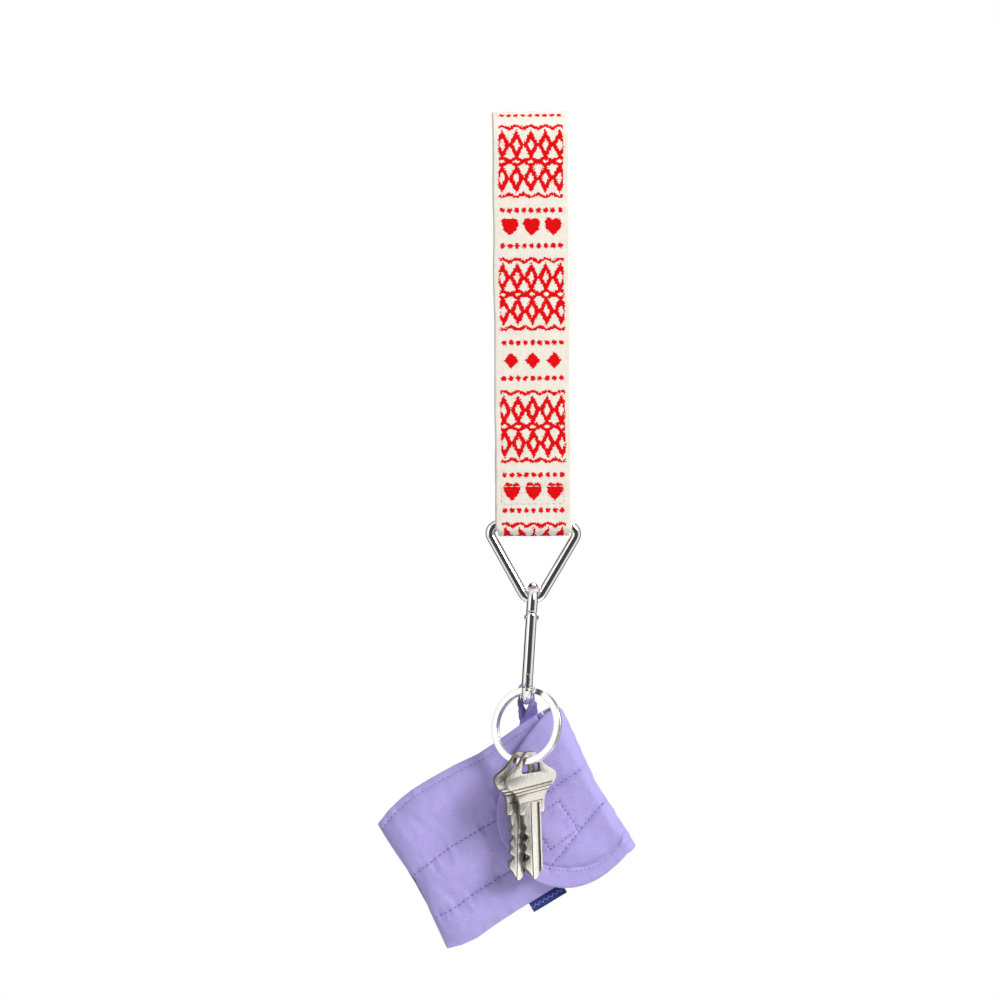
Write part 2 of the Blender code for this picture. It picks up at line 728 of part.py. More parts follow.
def make_wrap(name, look, parent, depth, thick, edge):
    rows = across_rows(edge)
    outer = [wrap_row(v, depth) for v in rows]
    inner = [wrap_row(v, depth + thick) for v in rows]
    add(name, sheet(outer, inner), look, parent, smooth=False)


def make_pouch_body(looks, parent):
    make_wrap("pouch_outer_fabric", looks["nylon"], parent, 0, SHELL_THICK, 0)
    depth = SHELL_THICK + PLY_GAP
    make_wrap("pouch_wadding", looks["padding"], parent, depth, PAD_THICK, LINING_EDGE)
    depth += PAD_THICK + PLY_GAP
    make_wrap("pouch_lining", looks["lining"], parent, depth, LINING_THICK, LINING_EDGE)
    tape = EDGE_HALF - SHELL_THICK - GAP
    for name, v0, v1 in (("upper_seam_tape", POUCH_TOP - 3 * MM, POUCH_TOP),
                         ("lower_seam_tape", POUCH_LOW, POUCH_LOW + 3 * MM)):
        bm = box((POUCH_END + 3.5 * MM, v0, -tape), (MOUTH, v1, tape))
        add(name, bm, looks["lining"], parent)
    for number, v in enumerate(QUILT_LINES):
        for side, name in ((1, "front"), (-1, "back")):
            w = side * (half_thick(v) + THREAD_GAP + THREAD / 2)
            points = [(POUCH_END + 9 * MM, v, w), (-50 * MM, v, w), (MOUTH - 1 * MM, v, w)]
            bm = sweep(points, flat_section(THREAD, THREAD), (0, 0, 1))
            add(f"{name}_quilt_stitch_{number + 1}", bm, looks["lilac_thread"], parent)
    w = MIDDLE_HALF + THREAD_GAP
    bm = box((PATCH_LEFT, PATCH_LOW, w), (PATCH_RIGHT, PATCH_TOP, w + PATCH_THICK))
    add("loop_patch", bm, looks["patch"], parent)
    bm = box((LABEL_LEFT, POUCH_LOW - GAP - LABEL_OUT, -LABEL_THICK / 2),
             (LABEL_RIGHT, POUCH_LOW - GAP, LABEL_THICK / 2))
    add("side_label", bm, looks["label"], parent)


def make_flap_fold(looks, parent):
    """The padded panel where it turns over from the back to become the flap."""
    rows = [-1.2 * MM, *across_rows(0)[1:-1], -70.4 * MM]
    middle = (FLAP_LIFT + PANEL_THICK) / 2
    grids = []
    for depth in (0, PANEL_THICK):
        grid = []
        for v in rows:
            half = half_thick(v) + middle - depth
            out = min(FOLD_DEPTH, 2.2 * (half_thick(v) + middle)) - depth
            angles = [math.pi * k / 8 for k in range(9)]
            grid.append(
                [(FOLD_CENTRE + out * math.sin(a), v, middle + half * math.cos(a)) for a in angles]
            )
        grids.append(grid)
    add("flap_fold", sheet(*grids), looks["nylon"], parent)


def flap_edges(u):
    """The flap's upper and lower edge at a distance u from the pouch's corner."""
    t = min(max((FOLD_CENTRE - u) / (FOLD_CENTRE - FLAP_TIP), 0), 1)
    upper = (-2.6 - 18.0 * t**1.15 - 18.5 * (1 - math.sqrt(1 - t**3.0))) * MM
    lower = (-71.2 - 13.5 * t * (1 - t) + 22.5 * (1 - math.sqrt(1 - t**3.4))) * MM
    return upper, lower


def flap_rows(margin, depth_low, depth_high):
    """Grids of two faces of the flap, at two depths, leaving out this many rows at its edge."""
    start = FOLD_CENTRE - GAP
    columns, rows = 12, 16
    grids = ([], [])
    for i in range(columns + 1 - margin):
        u = start + (FLAP_TIP - start) * math.sin(math.pi / 2 * i / columns)
        upper, lower = flap_edges(u)
        for grid, depth in zip(grids, (depth_low, depth_high)):
            row = []
            for k in range(margin, rows + 1 - margin):
                v = upper + (lower - upper) * k / rows
                row.append((u, v, half_thick(v) + FLAP_LIFT + PANEL_THICK - depth))
            grid.append(row)
    return grids


def to_flap(grid):
    """From the pouch's frame to the flap's, whose origin is on the fold."""
    middle = (FLAP_LIFT + PANEL_THICK) / 2
    return [[(u - FOLD_CENTRE, v, w - middle) for u, v, w in row] for row in grid]


def make_flap(looks, parent):
    layers = (
        ("flap_outer_fabric", "nylon", 0, 0, SHELL_THICK),
        ("flap_wadding", "padding", 1, SHELL_THICK + PLY_GAP, SHELL_THICK + PLY_GAP + PAD_THICK),
        ("flap_lining", "lining", 0, PANEL_THICK - LINING_THICK, PANEL_THICK),
    )
    for name, look, margin, low, high in layers:
        outer, inner = flap_rows(margin, low, high)
        add(name, sheet(to_flap(outer), to_flap(inner)), looks[look], parent)
    middle = (FLAP_LIFT + PANEL_THICK) / 2
    left, right = PATCH_LEFT - FOLD_CENTRE, PATCH_RIGHT - FOLD_CENTRE
    w = MIDDLE_HALF + FLAP_LIFT - THREAD_GAP - middle
    bm = box((left, PATCH_LOW, w - PATCH_THICK), (right, PATCH_TOP, w))
    add("hook_patch", bm, looks["patch"], parent)
    w = MIDDLE_HALF + FLAP_LIFT + PANEL_THICK + THREAD_GAP + THREAD / 2 - middle
    corner = 0.8 * MM
    circles = [(right - corner, PATCH_TOP - corner, corner), (left + corner, PATCH_TOP - corner, corner),
               (left + corner, PATCH_LOW + corner, corner), (right - corner, PATCH_LOW + corner, corner)]
    points = [(u, v, w) for u, v in belt(circles, math.radians(30))]
    bm = sweep(points, flat_section(THREAD, THREAD), (0, 0, 1), closed=True)
    add("patch_box_stitch", bm, looks["lilac_thread"], parent)
    make_flap_stitches(looks, parent)


def make_flap_stitches(looks, parent):
    """Two rows of quilting and the row that holds the hem."""
    middle = (FLAP_LIFT + PANEL_THICK) / 2
    rise = FLAP_LIFT + PANEL_THICK + THREAD_GAP + THREAD / 2 - middle

    def on_flap(u, v):
        return (u - FOLD_CENTRE, v, half_thick(v) + rise)

    quilt = [(-8, -30.4), (-20, -31.0), (-34, -31.6)]
    hem = [(-8, -62.6), (-17, -65.5), (-27, -65.2), (-36, -60.2), (-40.5, -54)]
    for name, route in (("flap_quilt_stitch", quilt), ("flap_hem_stitch", hem)):
        points = [on_flap(u * MM, v * MM) for u, v in smooth_path(route, 5)]
        bm = sweep(points, flat_section(THREAD, THREAD), (0, 0, 1))
        add(name, bm, looks["lilac_thread"], parent)


def make_hang_loop(looks, parent):
    """A tape over the hook's bend, in front of the spine, that leans back to the pouch's top seam."""
    route = [(-0.6, -9.3, 6.6), (-2.6, -5.5, 3.4), (-3.0, -1.5, 0.6), (-3.0, 2.0, 0), (-2.7, 5.0, 0),
             (0.0, 7.1, 0), (2.7, 5.0, 0), (3.0, 2.0, 0), (3.0, -1.5, 0.8), (3.3, -3.6, 3.4),
             (4.4, -5.4, 6.6)]
    points = smooth_path([(x * MM, back * MM, z * MM) for x, z, back in route], 4)
    middle = (LOOP_FRONT + LOOP_BACK) / 2
    width = LOOP_BACK - LOOP_FRONT
    points = [(x, middle + back, z) for x, back, z in points]
    bm = sweep(points, flat_section(LOOP_THICK, width), (0, 1, 0))
    add("hang_loop", bm, looks["nylon"], parent)


# ---------------------------------------------------------------- assembly


def build():
    clear_scene()
    looks = make_materials()

    strap_world = Matrix.Rotation(STRAP_LEAN, 4, "Y")
    strap = frame("hand_hold_frame", strap_world)
    make_strap(looks, strap)

    bar = strap_world @ Vector((0, 0, -BAR_DROP))
    triangle_world = Matrix.Translation(bar) @ Matrix.Rotation(TRIANGLE_LEAN, 4, "Y")
    triangle = frame("triangle_frame", triangle_world, strap)
    make_triangle(looks, triangle)

    vertex = (triangle_world @ Matrix.Translation((0, 0, triangle_depth()))).translation
    hook_world = Matrix.Translation(vertex) @ Matrix.Rotation(HOOK_LEAN, 4, "Y")
    hook = frame("carabiner_frame", hook_world, triangle)
    gate_at = gate_world(hook_world)
    gate = frame("gate_frame", gate_at, hook)
    make_hook_body(looks, hook, gate)
    make_gate(looks, gate)
    make_gate_spring(looks, gate)
    make_plunger(looks, frame("plunger_frame", gate_at, gate))

    bend = hook_top() - HOOK_LENGTH + HOOK_WIRE
    reach = RING_FORWARD - HOOK_LOW_FLAT
    rise = HOOK_LOW_RADIUS - math.sqrt(HOOK_LOW_RADIUS**2 - reach**2)
    hang = hook_world @ Vector((0, -RING_FORWARD, bend + rise))
    turned = Matrix.Rotation(RING_LEAN, 4, "X") @ Matrix.Rotation(RING_YAW, 4, "Z")
    ring_world = Matrix.Translation(hang) @ turned
    ring = frame("split_ring_frame", ring_world, hook)
    make_split_ring(looks, ring)

    centre = ring_world @ Vector((0, 0, -ring_drop()))
    key_world = Matrix.Translation(centre) @ turned
    upright = Matrix.Rotation(KEY_LEAN, 4, "X") @ Matrix.Rotation(KEY_YAW, 4, "Z")
    for name, along, roll in (("key_front", FRONT_KEY_ALONG, FRONT_KEY_ROLL),
                              ("key_rear", REAR_KEY_ALONG, REAR_KEY_ROLL)):
        slide = frame(name + "_frame", key_world, ring)
        place = key_place(along, roll, turned.inverted() @ upright)
        make_key(name, looks, slide, place)

    pivot = hook_world @ Vector((0, 0, bend))
    pouch_world = Matrix.Translation(pivot)
    pouch = frame("pouch_frame", pouch_world, hook)
    make_hang_loop(looks, pouch)
    corner = Matrix.Translation((POUCH_CORNER_X, POUCH_BACK, POUCH_CORNER_Z))
    axes = Matrix(((1, 0, 0, 0), (0, 0, -1, 0), (0, 1, 0, 0), (0, 0, 0, 1)))
    body_world = pouch_world @ corner @ Matrix.Rotation(POUCH_TURN, 4, "Y") @ axes
    body = frame("pouch_body_frame", body_world, pouch)
    make_pouch_body(looks, body)
    make_flap_fold(looks, body)
    fold = Matrix.Translation((FOLD_CENTRE, 0, (FLAP_LIFT + PANEL_THICK) / 2))
    flap = frame("flap_frame", body_world @ fold, body)
    make_flap(looks, flap)


build()
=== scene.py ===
"""Looks of the wristlet keychain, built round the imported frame. Metres, +Z up, the front faces -Y."""

import json
import math

import bmesh
import bpy
import numpy as np
from mathutils import Matrix, Vector


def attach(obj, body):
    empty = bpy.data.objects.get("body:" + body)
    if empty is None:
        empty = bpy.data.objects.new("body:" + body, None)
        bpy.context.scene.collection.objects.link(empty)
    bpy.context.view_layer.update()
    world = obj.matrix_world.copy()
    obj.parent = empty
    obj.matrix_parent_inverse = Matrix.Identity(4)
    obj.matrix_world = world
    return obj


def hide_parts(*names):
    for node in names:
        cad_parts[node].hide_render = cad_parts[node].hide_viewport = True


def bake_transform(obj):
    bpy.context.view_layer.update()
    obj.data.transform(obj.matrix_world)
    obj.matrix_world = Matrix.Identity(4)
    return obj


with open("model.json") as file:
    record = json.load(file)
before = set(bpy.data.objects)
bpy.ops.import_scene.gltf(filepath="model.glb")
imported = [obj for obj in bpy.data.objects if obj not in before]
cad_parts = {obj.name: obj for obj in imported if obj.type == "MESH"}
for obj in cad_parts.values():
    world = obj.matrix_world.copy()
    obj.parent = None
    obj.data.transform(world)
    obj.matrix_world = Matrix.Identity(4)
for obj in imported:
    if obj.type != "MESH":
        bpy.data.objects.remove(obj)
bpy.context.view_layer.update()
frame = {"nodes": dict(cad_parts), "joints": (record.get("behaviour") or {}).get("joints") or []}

MM = 0.001
NODES = frame["nodes"]
PIVOT = {joint["name"]: Vector(joint["pos_m"]) for joint in frame["joints"] if "pos_m" in joint}

# Lengths below are millimetres, and are multiplied by MM where they reach the mesh.

# Webbing
STRAP_WIDTH = 32.0
STRAP_THICK = 1.6
STRAP_LEAN = math.radians(-0.4)
HAND_RADIUS = 9.0
BAR_DROP = 172.1
BAR_FOLD_RADIUS = 2.85
FOLD_NARROWS = 0.95
LAYER_PITCH = STRAP_THICK + 0.3
TAIL_TOP = -153.5
TAIL_FLARE = -165.6
BACK_JOIN = -150.0
BACK_END = -163.6
WEAVE = 0.42
FIGURE_START = 26.7
FIGURE_REPEAT = 55.2
FIGURE_HALF = 13.5
BAND_HALF = 14.0
LOZENGE_PITCH = 6.0
STITCH_CENTRE = -159.3
STITCH_HALF = 13.0
STITCH_TALL = 3.6

# Hardware
TRIANGLE_WIRE = 2.05
HOOK_WIRE = 2.2
HOOK_LEAN = math.radians(3.57)
HOOK_LENGTH = 51.2
GATE_ABOVE = 1.7
GATE_BELOW = 28.6
RIVET_DROP = 14.4
RING_OUTER = 16.4
RING_BROAD = 2.6
RING_LAYER = 1.25
RING_PITCH = 1.45
RING_TURN = Matrix.Rotation(math.radians(-13), 4, "X") @ Matrix.Rotation(math.radians(-31), 4, "Z")
KEY_TURN = Matrix.Rotation(math.radians(7), 4, "X") @ Matrix.Rotation(math.radians(30), 4, "Z")
KEY_THICK = 2.0
KEY_STRUT = 1.9
KEY_PLAY = 0.8

# Pouch, in its own frame: u towards the fold, v up across it, w out of its front
POUCH_CORNER = Vector((11.25, 11.0, -1.55)) * MM
POUCH_TURN = math.radians(-31)
SEAM_HALF = 1.0
CREST_HALF = 5.0
PANEL_TOP = -1.5
PANEL_TALL = 66.5
QUILT_LINES = (-30.2, -51.8)
FOLD_CENTRE = -6.0
FLAP_TIP = -48.3
FLAP_RISE = 3.2

# Outlines of the pouch, from the photograph's proportions
TOP_SEAM = [(-90.4, -6.6), (-83.2, -3.8), (-76, -2.2), (-70.4, -1.5), (-61.7, -1.4), (-49.6, -1.8),
            (-38.9, -2.9), (-30.8, -2.6), (-15.2, -1.4), (0, -1.3)]
LOW_SEAM = [(-92.2, -66.8), (-86, -68.6), (-78.9, -69.4), (-69.6, -68.6), (-58.1, -68.2), (-40, -68),
            (0, -68)]
CLOSED_END = [(-69, -92.2), (-66.8, -92.1), (-49, -90.4), (-40, -89.2), (-32, -88.8), (-27.8, -89.4),
              (-14, -90.2), (-6.6, -90.3)]
FOLD_BULGE = [(-72, 4.6), (-66, 4.8), (-40, 4.1), (-22, 6.2), (-6, 8.0), (-3.6, 7.2), (-2.2, 5.0)]

# Stage, in metres and watts
AMBIENT = 0.42
KEY_POWER = 22
FILL_POWER = 2.0
BACK_POWER = 9
FLOOR_RADIUS = 0.32
FLOOR_LEVEL = -0.47
FLOOR_SIDES = 64
CAMERA_DISTANCE = 1.3
CAMERA_SPAN = 0.42
CAMERA_ACROSS = -0.0128
CAMERA_LEVEL = -0.1614


# --- shader nodes


class Shader:
    """A Principled material and short ways to add nodes to it."""

    def __init__(self, name, colour, roughness, metallic=0.0, **constants):
        self.material = bpy.data.materials.new(name)
        self.material.use_nodes = True
        self.tree = self.material.node_tree
        self.principled = self.tree.nodes["Principled BSDF"]
        self.set("Base Color", (*colour, 1))
        self.set("Roughness", roughness)
        self.set("Metallic", metallic)
        for socket, value in constants.items():
            self.set(socket.replace("_", " "), value)
        self.material.diffuse_color = (*colour, 1)

    def set(self, socket, value):
        if isinstance(value, bpy.types.NodeSocket):
            self.tree.links.new(value, self.principled.inputs[socket])
        else:
            self.principled.inputs[socket].default_value = value

    def node(self, kind, inputs=None, **settings):
        made = self.tree.nodes.new("ShaderNode" + kind)
        for key, value in settings.items():
            setattr(made, key, value)
        for socket, value in (inputs or {}).items():
            if isinstance(value, bpy.types.NodeSocket):
                self.tree.links.new(value, made.inputs[socket])
            else:
                made.inputs[socket].default_value = value
        return made

    def place(self, scale=(1, 1, 1), source="Object", turn=(0, 0, 0)):
        """Coordinates of the piece itself, stretched so that 1 is about the size of a detail."""
        where = self.node("TexCoord").outputs[source]
        inputs = {"Vector": where, "Scale": scale, "Rotation": turn}
        return self.node("Mapping", inputs).outputs["Vector"]

    def noise(self, scale, detail=3.0, where=None):
        inputs = {"Scale": scale, "Detail": detail, "Roughness": 0.55}
        if where:
            inputs["Vector"] = where
        return self.node("TexNoise", inputs).outputs["Fac"]

    def wave(self, scale, where, bands="X", distortion=0.0):
        inputs = {"Scale": scale, "Distortion": distortion, "Vector": where}
        return self.node("TexWave", inputs, bands_direction=bands).outputs["Fac"]

    def math(self, operation, a, b=0.0):
        return self.node("Math", {0: a, 1: b}, operation=operation).outputs[0]

    def ramp(self, value, low, high, start=0.0, end=1.0):
        """value mapped from start-end to low-high, which are numbers."""
        inputs = {"Value": value, "From Min": start, "From Max": end, "To Min": low, "To Max": high}
        return self.node("MapRange", inputs).outputs["Result"]

    def blend(self, factor, first, second):
        """From the first colour to the second."""
        made = self.node("Mix", data_type="RGBA")
        for socket, value in (("Factor_Float", factor), ("A_Color", first), ("B_Color", second)):
            there = next(s for s in made.inputs if s.identifier == socket)
            if isinstance(value, bpy.types.NodeSocket):
                self.tree.links.new(value, there)
            else:
                there.default_value = (*value, 1) if isinstance(value, tuple) else value
        return next(s for s in made.outputs if s.identifier == "Result_Color")

    def bump(self, height, depth, strength=1.0):
        """Relief of this depth in metres."""
        inputs = {"Height": height, "Distance": depth, "Strength": strength}
        self.set("Normal", self.node("Bump", inputs).outputs["Normal"])


def make_webbing():
    """Cream ribbed ground with a raised red figure, told apart by the cells of the weave."""
    made = Shader("jacquard_webbing", (0.86, 0.80, 0.71), 0.9, Specular_IOR_Level=0.12)
    cloth = made.place(source="UV")
    mottle = made.noise(0.35, 3, cloth)
    streak = made.noise(1.0, 2, made.place((1.6, 0.22, 1), "UV"))
    ground = made.blend(mottle, (0.95, 0.89, 0.80), (0.80, 0.735, 0.64))
    ground = made.blend(made.ramp(streak, 0, 0.5, 0.5, 0.75), ground, (0.72, 0.645, 0.54))
    red = made.blend(mottle, (0.83, 0.001, 0.003), (0.68, 0.001, 0.003))
    figure = made.node("Attribute", attribute_name="figure").outputs["Fac"]
    made.set("Base Color", made.blend(figure, ground, red))
    ribs = made.wave(0.75, cloth, "X", 0.6)
    picks = made.wave(0.62, cloth, "Y", 1.2)
    made.bump(made.math("ADD", made.math("MULTIPLY", ribs, picks), made.ramp(mottle, 0, 0.8)), 0.00022)
    return made.material


def make_thread(name, pale, dark):
    """Twisted thread, with its turns as slanted bands and painted shade in the grooves between them."""
    made = Shader(name, pale, 0.6, Sheen_Weight=0.2)
    twist = made.wave(1400, made.place(turn=(0.6, 0.5, 0.4)), "DIAGONAL", 0.5)
    # Painted shade: the colour goes to the dark tone where the twist bump below is low, between the turns.
    made.set("Base Color", made.blend(twist, dark, pale))
    made.bump(twist, 0.00008)
    return made.material


def make_steel():
    """Polished stainless steel with faint scratches and handling marks."""
    made = Shader("polished_steel", (0.80, 0.80, 0.79), 0.1, 1.0)
    marks = made.noise(160, 5)
    scratches = made.noise(60, 4, made.place((1, 1, 26)))
    made.set("Base Color", made.blend(marks, (0.83, 0.83, 0.825), (0.74, 0.735, 0.725)))
    made.set("Roughness", made.ramp(made.math("ADD", marks, scratches), 0.05, 0.2, 0.6, 1.4))
    made.bump(scratches, 0.000012)
    return made.material


def make_ring_steel():
    """Ring wire: bright faces with fine drawn lines along the coil."""
    made = Shader("nickelled_ring_wire", (0.86, 0.85, 0.83), 0.22, 1.0)
    marks = made.noise(300, 4)
    made.set("Base Color", made.blend(marks, (0.90, 0.89, 0.87), (0.78, 0.765, 0.74)))
    made.set("Roughness", made.ramp(marks, 0.16, 0.34, 0.3, 0.7))
    made.bump(made.noise(900, 3), 0.000012)
    return made.material


def make_nickel():
    """Satin nickel silver, brushed along the blade, darker and warmer where it has rubbed."""
    made = Shader("satin_nickel", (0.70, 0.67, 0.60), 0.3, 1.0)
    wear = made.noise(140, 5)
    brushed = made.noise(220, 3, made.place((7, 7, 1)))
    bright = made.blend(made.ramp(wear, 0, 1, 0.35, 0.65), (0.86, 0.84, 0.79), (0.66, 0.62, 0.55))
    made.set("Base Color", made.blend(made.ramp(brushed, 0, 0.4, 0.4, 0.7), bright, (0.93, 0.91, 0.87)))
    made.set("Roughness", made.ramp(made.math("ADD", wear, brushed), 0.2, 0.42, 0.7, 1.3))
    made.bump(made.math("ADD", brushed, made.math("MULTIPLY", wear, 0.6)), 0.000012)
    return made.material


def make_edge_shade():
    """Painted shade: a dark brown metal, patchy with noise, for the keys' cut edges."""
    made = Shader("painted_shade_key_edges", (0.24, 0.19, 0.14), 0.38, 1.0)
    patchy = made.noise(260, 4)
    made.set("Base Color", made.blend(patchy, (0.12, 0.09, 0.065), (0.46, 0.40, 0.32)))
    made.set("Roughness", made.ramp(patchy, 0.3, 0.5))
    made.bump(patchy, 0.00001)
    return made.material


def make_spring_steel():
    """Drawn grey wire."""
    made = Shader("spring_steel", (0.5, 0.5, 0.5), 0.32, 1.0)
    made.set("Roughness", made.ramp(made.noise(500, 3), 0.22, 0.45))
    made.bump(made.noise(1500, 2), 0.00001)
    return made.material


def make_nylon(name, lit, shade, sheen=0.25):
    """Fine downproof taffeta: a close plain weave that crinkles, with a soft bluish sheen."""
    made = Shader(name, lit, 0.5, Sheen_Weight=sheen, Sheen_Roughness=0.45)
    made.set("Sheen Tint", (0.78, 0.78, 1.0, 1))
    crinkle = made.noise(95, 4)
    small = made.noise(420, 3)
    made.set("Base Color", made.blend(made.ramp(crinkle, 0, 1, 0.3, 0.75), lit, shade))
    made.set("Roughness", made.ramp(small, 0.42, 0.62, 0.3, 0.7))
    warp = made.wave(1500, made.place(turn=(0, 0.54, 0)), "X", 0.3)
    weft = made.wave(1500, made.place(turn=(0, 0.54, 0)), "Z", 0.3)
    weave = made.math("MULTIPLY", made.math("MULTIPLY", warp, weft), 0.12)
    creases = made.math("ADD", made.math("MULTIPLY", small, 0.35), crinkle)
    made.bump(made.math("ADD", creases, weave), 0.00035, 0.8)
    return made.material


def make_pile():
    """Hook-and-loop tape: a field of small loops."""
    made = Shader("hook_and_loop", (0.34, 0.29, 0.58), 0.9, Sheen_Weight=0.3)
    loops = made.node("TexVoronoi", {"Scale": 1300.0}).outputs["Distance"]
    made.set("Base Color", made.blend(loops, (0.42, 0.37, 0.66), (0.22, 0.18, 0.44)))
    made.bump(loops, 0.0004)
    return made.material


def make_label():
    """Navy satin label with pale woven zigzags, and no words."""
    made = Shader("navy_label", (0.012, 0.02, 0.13), 0.6, Specular_IOR_Level=0.3)
    cloth = made.place(source="UV")
    split = made.node("SeparateXYZ", {"Vector": cloth})
    across, along = split.outputs["X"], split.outputs["Y"]
    fold = made.math("PINGPONG", along, 1.1)
    gap = made.math("ABSOLUTE", made.math("SUBTRACT", made.math("ADD", fold, 3.3), across))
    figure = made.math("LESS_THAN", gap, 0.28)
    satin = made.wave(1.6, cloth, "Y", 0.2)
    navy = made.blend(satin, (0.009, 0.015, 0.10), (0.02, 0.032, 0.19))
    made.set("Base Color", made.blend(figure, navy, (0.10, 0.16, 0.62)))
    made.bump(satin, 0.00006)
    return made.material


LOOK = {
    "webbing": make_webbing(),
    "thread": make_thread("cream_thread", (0.88, 0.82, 0.73), (0.60, 0.52, 0.42)),
    "steel": make_steel(),
    "ring": make_ring_steel(),
    "nickel": make_nickel(),
    # painted shade for the keys' edge walls and cuts
    "edge_shade": make_edge_shade(),
    "spring": make_spring_steel(),
    "nylon": make_nylon("lilac_nylon", (0.395, 0.345, 0.695), (0.335, 0.285, 0.635)),
    "tape": make_nylon("lilac_tape", (0.25, 0.19, 0.54), (0.17, 0.12, 0.44)),
    "lining": make_nylon("violet_lining", (0.17, 0.12, 0.36), (0.12, 0.08, 0.28), 0.1),
    "lilac_thread": make_thread("lilac_thread", (0.62, 0.56, 0.86), (0.42, 0.36, 0.72)),
    "quilting": make_thread("violet_quilting_thread", (0.15, 0.10, 0.36), (0.07, 0.04, 0.20)),
    "patch": make_pile(),
    "label": make_label(),
}


# --- mesh helpers


def piece(name, points, faces, look, body, stands_for=(), smooth=True):
    """A mesh in the row frame, in metres, which rides on a body and stands for CAD nodes."""
    mesh = bpy.data.meshes.new(name)
    mesh.from_pydata([tuple(p) for p in points], [], [tuple(f) for f in faces])
    mesh.validate()
    if smooth:
        mesh.shade_smooth()
    for each in look if isinstance(look, list) else [look]:
        mesh.materials.append(LOOK[each])
    obj = bpy.data.objects.new(name, mesh)
    bpy.context.collection.objects.link(obj)
    faces_outwards(obj)
    if body:
        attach(obj, body)
    if stands_for:
        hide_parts(*stands_for)
    return obj


def faces_outwards(obj):
    bm = bmesh.new()
    bm.from_mesh(obj.data)
    bmesh.ops.recalc_face_normals(bm, faces=bm.faces)
    bm.to_mesh(obj.data)
    bm.free()


def bake(obj):
    """Puts what the modifiers make into the mesh itself."""
    graph = bpy.context.evaluated_depsgraph_get()
    made = bpy.data.meshes.new_from_object(obj.evaluated_get(graph))
    obj.modifiers.clear()
    obj.data = made
    return obj


def to_world(matrix, points):
    """Points in a piece's own frame and millimetres, as an array in the row frame and metres."""
    flat = np.asarray(points, float).reshape(-1, 3) * MM
    rotate = np.array(matrix.to_3x3())
    return flat @ rotate.T + np.array(matrix.translation)


def grid_faces(rows, columns, offset=0, round_rows=False, round_columns=False):
    """Quads over a grid of points that is stored row by row."""
    i, k = np.meshgrid(
        np.arange(rows - (not round_rows)), np.arange(columns - (not round_columns)), indexing="ij"
    )
    i2, k2 = (i + 1) % rows, (k + 1) % columns
    corners = [i * columns + k, i * columns + k2, i2 * columns + k2, i2 * columns + k]
    return (np.stack(corners, -1).reshape(-1, 4) + offset).tolist()


def end_caps(rows, columns):
    """The two ends of a tube over a grid of points."""
    last = (rows - 1) * columns
    return [list(range(columns)), [last + k for k in reversed(range(columns))]]


def sweep(points, section, side, closed=False):
    """(points, faces) of a section swept along a path. section is a list, or a function of 0-1 along it."""
    path = np.asarray(points, float)
    side = np.asarray(side, float) / np.linalg.norm(side)
    if closed:
        ahead, behind = np.roll(path, -1, 0), np.roll(path, 1, 0)
    else:
        ahead = np.vstack([path[1:], path[-1:]])
        behind = np.vstack([path[:1], path[:-1]])
    across = np.cross(ahead - behind, side)
    across /= np.linalg.norm(across, axis=1)[:, None]
    last = len(path) - 1
    rings = []
    for i, (p, a) in enumerate(zip(path, across)):
        shape = section(i / last) if callable(section) else section
        rings += [p + a * x + side * y for x, y in shape]
    count = len(shape)
    faces = grid_faces(len(path), count, round_rows=closed, round_columns=True)
    if not closed:
        faces += end_caps(len(path), count)
    return rings, faces


def prism_faces(count):
    """Two ends and the walls between them, over two rings of this many points."""
    walls = [[k, (k + 1) % count, (k + 1) % count + count, k + count] for k in range(count)]
    return end_caps(2, count) + walls


def rectangle(x0, x1, z0, z1):
    return [(x0, z0), (x1, z0), (x1, z1), (x0, z1)]


def slab(outline, low, high):
    """(points, faces) of an (x, z) outline between two depths."""
    return [(x, y, z) for y in (low, high) for x, z in outline], prism_faces(len(outline))


def cut_away(obj, place, outline, low, high):
    points, faces = slab(outline, low, high)
    mesh = bpy.data.meshes.new("cutter")
    mesh.from_pydata([tuple(p) for p in to_world(place, points)], [], faces)
    cutter = bpy.data.objects.new("cutter", mesh)
    bpy.context.collection.objects.link(cutter)
    faces_outwards(cutter)
    cut = obj.modifiers.new("cut", "BOOLEAN")
    cut.operation, cut.object = "DIFFERENCE", cutter
    bpy.context.view_layer.update()
    bake(obj)
    bpy.data.objects.remove(cutter)


def thicken(obj, thickness):
    """Gives cloth its thickness, on its inner side."""
    cloth = obj.modifiers.new("cloth", "SOLIDIFY")
    cloth.thickness, cloth.offset = thickness * MM, -1
    bake(obj)


def add_cloth_map(mesh, cloth):
    """A UV map in the cloth's own millimetres, from one (across, along) pair for each point."""
    corner = np.empty(len(mesh.loops), np.int32)
    mesh.loops.foreach_get("vertex_index", corner)
    layer = mesh.uv_layers.new(name="cloth")
    layer.data.foreach_set("uv", cloth[corner].astype(np.float32).reshape(-1))


def circle(radius, sides=28):
    return [
        (radius * math.cos(2 * math.pi * k / sides), radius * math.sin(2 * math.pi * k / sides))
        for k in range(sides)
    ]


def rounded(broad, thick, ease, steps=4):
    """A rectangle with round corners."""
    made = []
    for n, (sx, sy) in enumerate(((1, 1), (-1, 1), (-1, -1), (1, -1))):
        centre = (sx * (broad / 2 - ease), sy * (thick / 2 - ease))
        for k in range(steps + 1):
            turned = math.pi / 2 * (n + k / steps)
            made.append((centre[0] + ease * math.cos(turned), centre[1] + ease * math.sin(turned)))
    return made


def arc(centre, radius, start, end, step=math.radians(3)):
    count = max(2, round(abs(end - start) / step))
    turned = [start + (end - start) * k / count for k in range(count + 1)]
    return [(centre[0] + radius * math.cos(a), centre[1] + radius * math.sin(a)) for a in turned]


